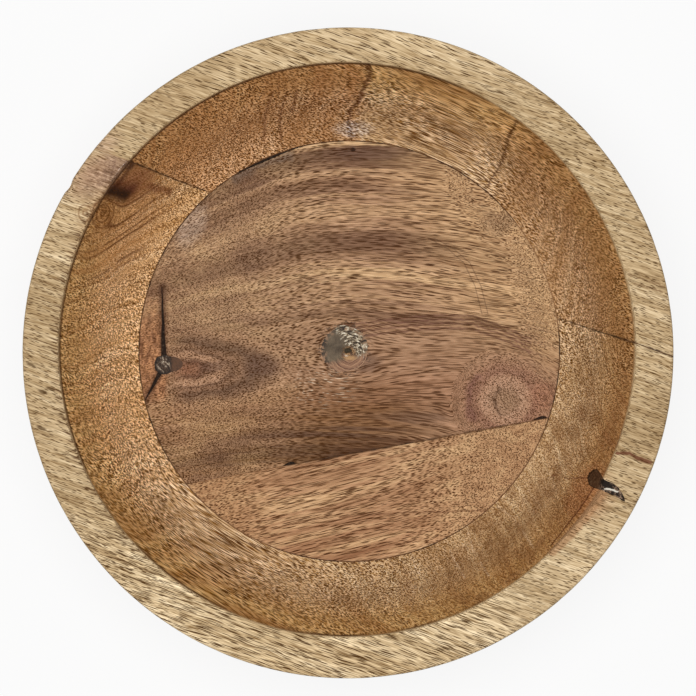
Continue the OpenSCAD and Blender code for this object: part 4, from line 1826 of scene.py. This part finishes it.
def make_bowl():
    """All the pieces of the bowl."""
    ring = make_ring()
    floor = make_floor()
    glue = glue_line()
    black = black_filler()
    knots = [(on_wall((103, 212)), (7.0, 7.5, 12.0), 15.0)]
    lower = ring_wood("lower_wall_wood", (70.0, 85.0), 0.0, 0.23, knots, lower_marks)
    upper = ring_wood("upper_wall_wood", (25.0, 91.0), 300.0, 0.09, [], upper_marks)
    dress(ring["lower_wall_board"], lower, "ring_wood", "ring_board_lower")
    dress(ring["upper_wall_board"], upper, "ring_wood", "ring_board_upper")
    dress(ring["wall_seam"], glue, "glue", "ring_seam_glue")
    dress(floor["dark_floor_board"], dark_floor_wood(), "dark_floor_wood", "floor_board_dark")
    dress(floor["light_floor_board"], light_floor_wood(), "light_floor_wood", "floor_board_light")
    dress(floor["floor_seam"], glue, "glue", "floor_seam_glue")
    knot, filler = make_centre_knot()
    dress(knot, centre_knot_wood(), "knot_wood", "centre_knot")
    dress(filler, grey_filler(), "grey_filler", "centre_knot_filler")
    knot, filler = make_left_knot()
    dress(knot, left_knot_wood(), "knot_wood", "left_knot")
    dress(filler, black, "black_filler", "left_crack_filler")
    seam_gaps, edge_gap = make_gap_fillers()
    dress(seam_gaps, black, "black_filler", "seam_gap_filler")
    dress(edge_gap, black, "black_filler", "edge_gap_filler")
    dress(make_rim_knot(), rim_filler(), "black_filler", "rim_knot_filler")
    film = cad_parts["ring_to_floor_glue"]
    film.data.materials.clear()
    film.data.materials.append(glue)


# Stage, light and camera

# The ground's span in metres and its height in millimetres, the camera's reach and the lamp in metres and watts
FLOOR_SPAN = 6.0
GROUND_Z = -1.0
GROUND_T = 10.0
SHADOW_SHARE = 0.15
ROOM_STRENGTH = 0.4
FAR_CLIP = 20.0
LAMP_SIZE = 0.9
LAMP_WATTS = 13.0
LAMP_AT = (-0.05, 0.04, 1.3)


def camera_sees(tree):
    """1 where a ray comes from the camera, or shows in gloss or glass."""
    path = tree.nodes.new("ShaderNodeLightPath")
    seen = number("MAXIMUM", Field(path.outputs["Is Camera Ray"]), Field(path.outputs["Is Glossy Ray"]))
    return number("MAXIMUM", seen, Field(path.outputs["Is Transmission Ray"]))


def white_to_camera(tree, other, kind, share):
    """A shader that the camera sees as white, by a share, and that is otherwise as given."""
    white = tree.nodes.new(kind)
    shaders = {0: camera_sees(tree) * share, 1: Field(other.outputs[0]), 2: Field(white.outputs[0])}
    return Field(add_node(tree, "ShaderNodeMixShader", shaders).outputs[0])


def make_stage():
    """A plain white floor that keeps a soft shadow."""
    half = FLOOR_SPAN / 2 / MM
    corners = [(-half, -half), (half, -half), (half, half), (-half, half)]
    ground = prism("ground", corners, GROUND_Z - GROUND_T, GROUND_Z)
    material = bpy.data.materials.new("ground")
    tree = blank_tree(material)
    matt = add_node(tree, "ShaderNodeBsdfDiffuse", {"Color": (0.8, 0.8, 0.8, 1.0)})
    surface = white_to_camera(tree, matt, "ShaderNodeEmission", 1 - SHADOW_SHARE)
    add_node(tree, "ShaderNodeOutputMaterial", {"Surface": surface})
    ground.data.materials.append(material)


def make_light():
    """A white room and one broad soft lamp overhead."""
    world = bpy.data.worlds.new("room")
    bpy.context.scene.world = world
    tree = blank_tree(world)
    room = add_node(tree, "ShaderNodeBackground", {"Strength": ROOM_STRENGTH})
    surface = white_to_camera(tree, room, "ShaderNodeBackground", 1.0)
    add_node(tree, "ShaderNodeOutputWorld", {"Surface": surface})
    lamp = bpy.data.lights.new("overhead", "AREA")
    lamp.shape = "DISK"
    lamp.size = LAMP_SIZE
    lamp.energy = LAMP_WATTS
    holder = new_piece("overhead", lamp)
    holder.location = LAMP_AT
    holder.rotation_euler = (Vector((0, 0, 0)) - holder.location).to_track_quat("-Z", "Y").to_euler()


def make_camera():
    """The photograph's camera, straight above the bowl."""
    lens = bpy.data.cameras.new("camera")
    lens.sensor_width = SENSOR_MM
    lens.lens = FOCAL_PX / PHOTO_PX * SENSOR_MM
    lens.clip_end = FAR_CLIP
    camera = new_piece("camera", lens)
    camera.matrix_world = Matrix.Translation(CAMERA_AT * MM) @ CAMERA_TURN.to_4x4()
    bpy.context.scene.camera = camera


make_bowl()
make_stage()
make_light()
make_camera()
bpy.context.scene.view_settings.view_transform = "Standard"
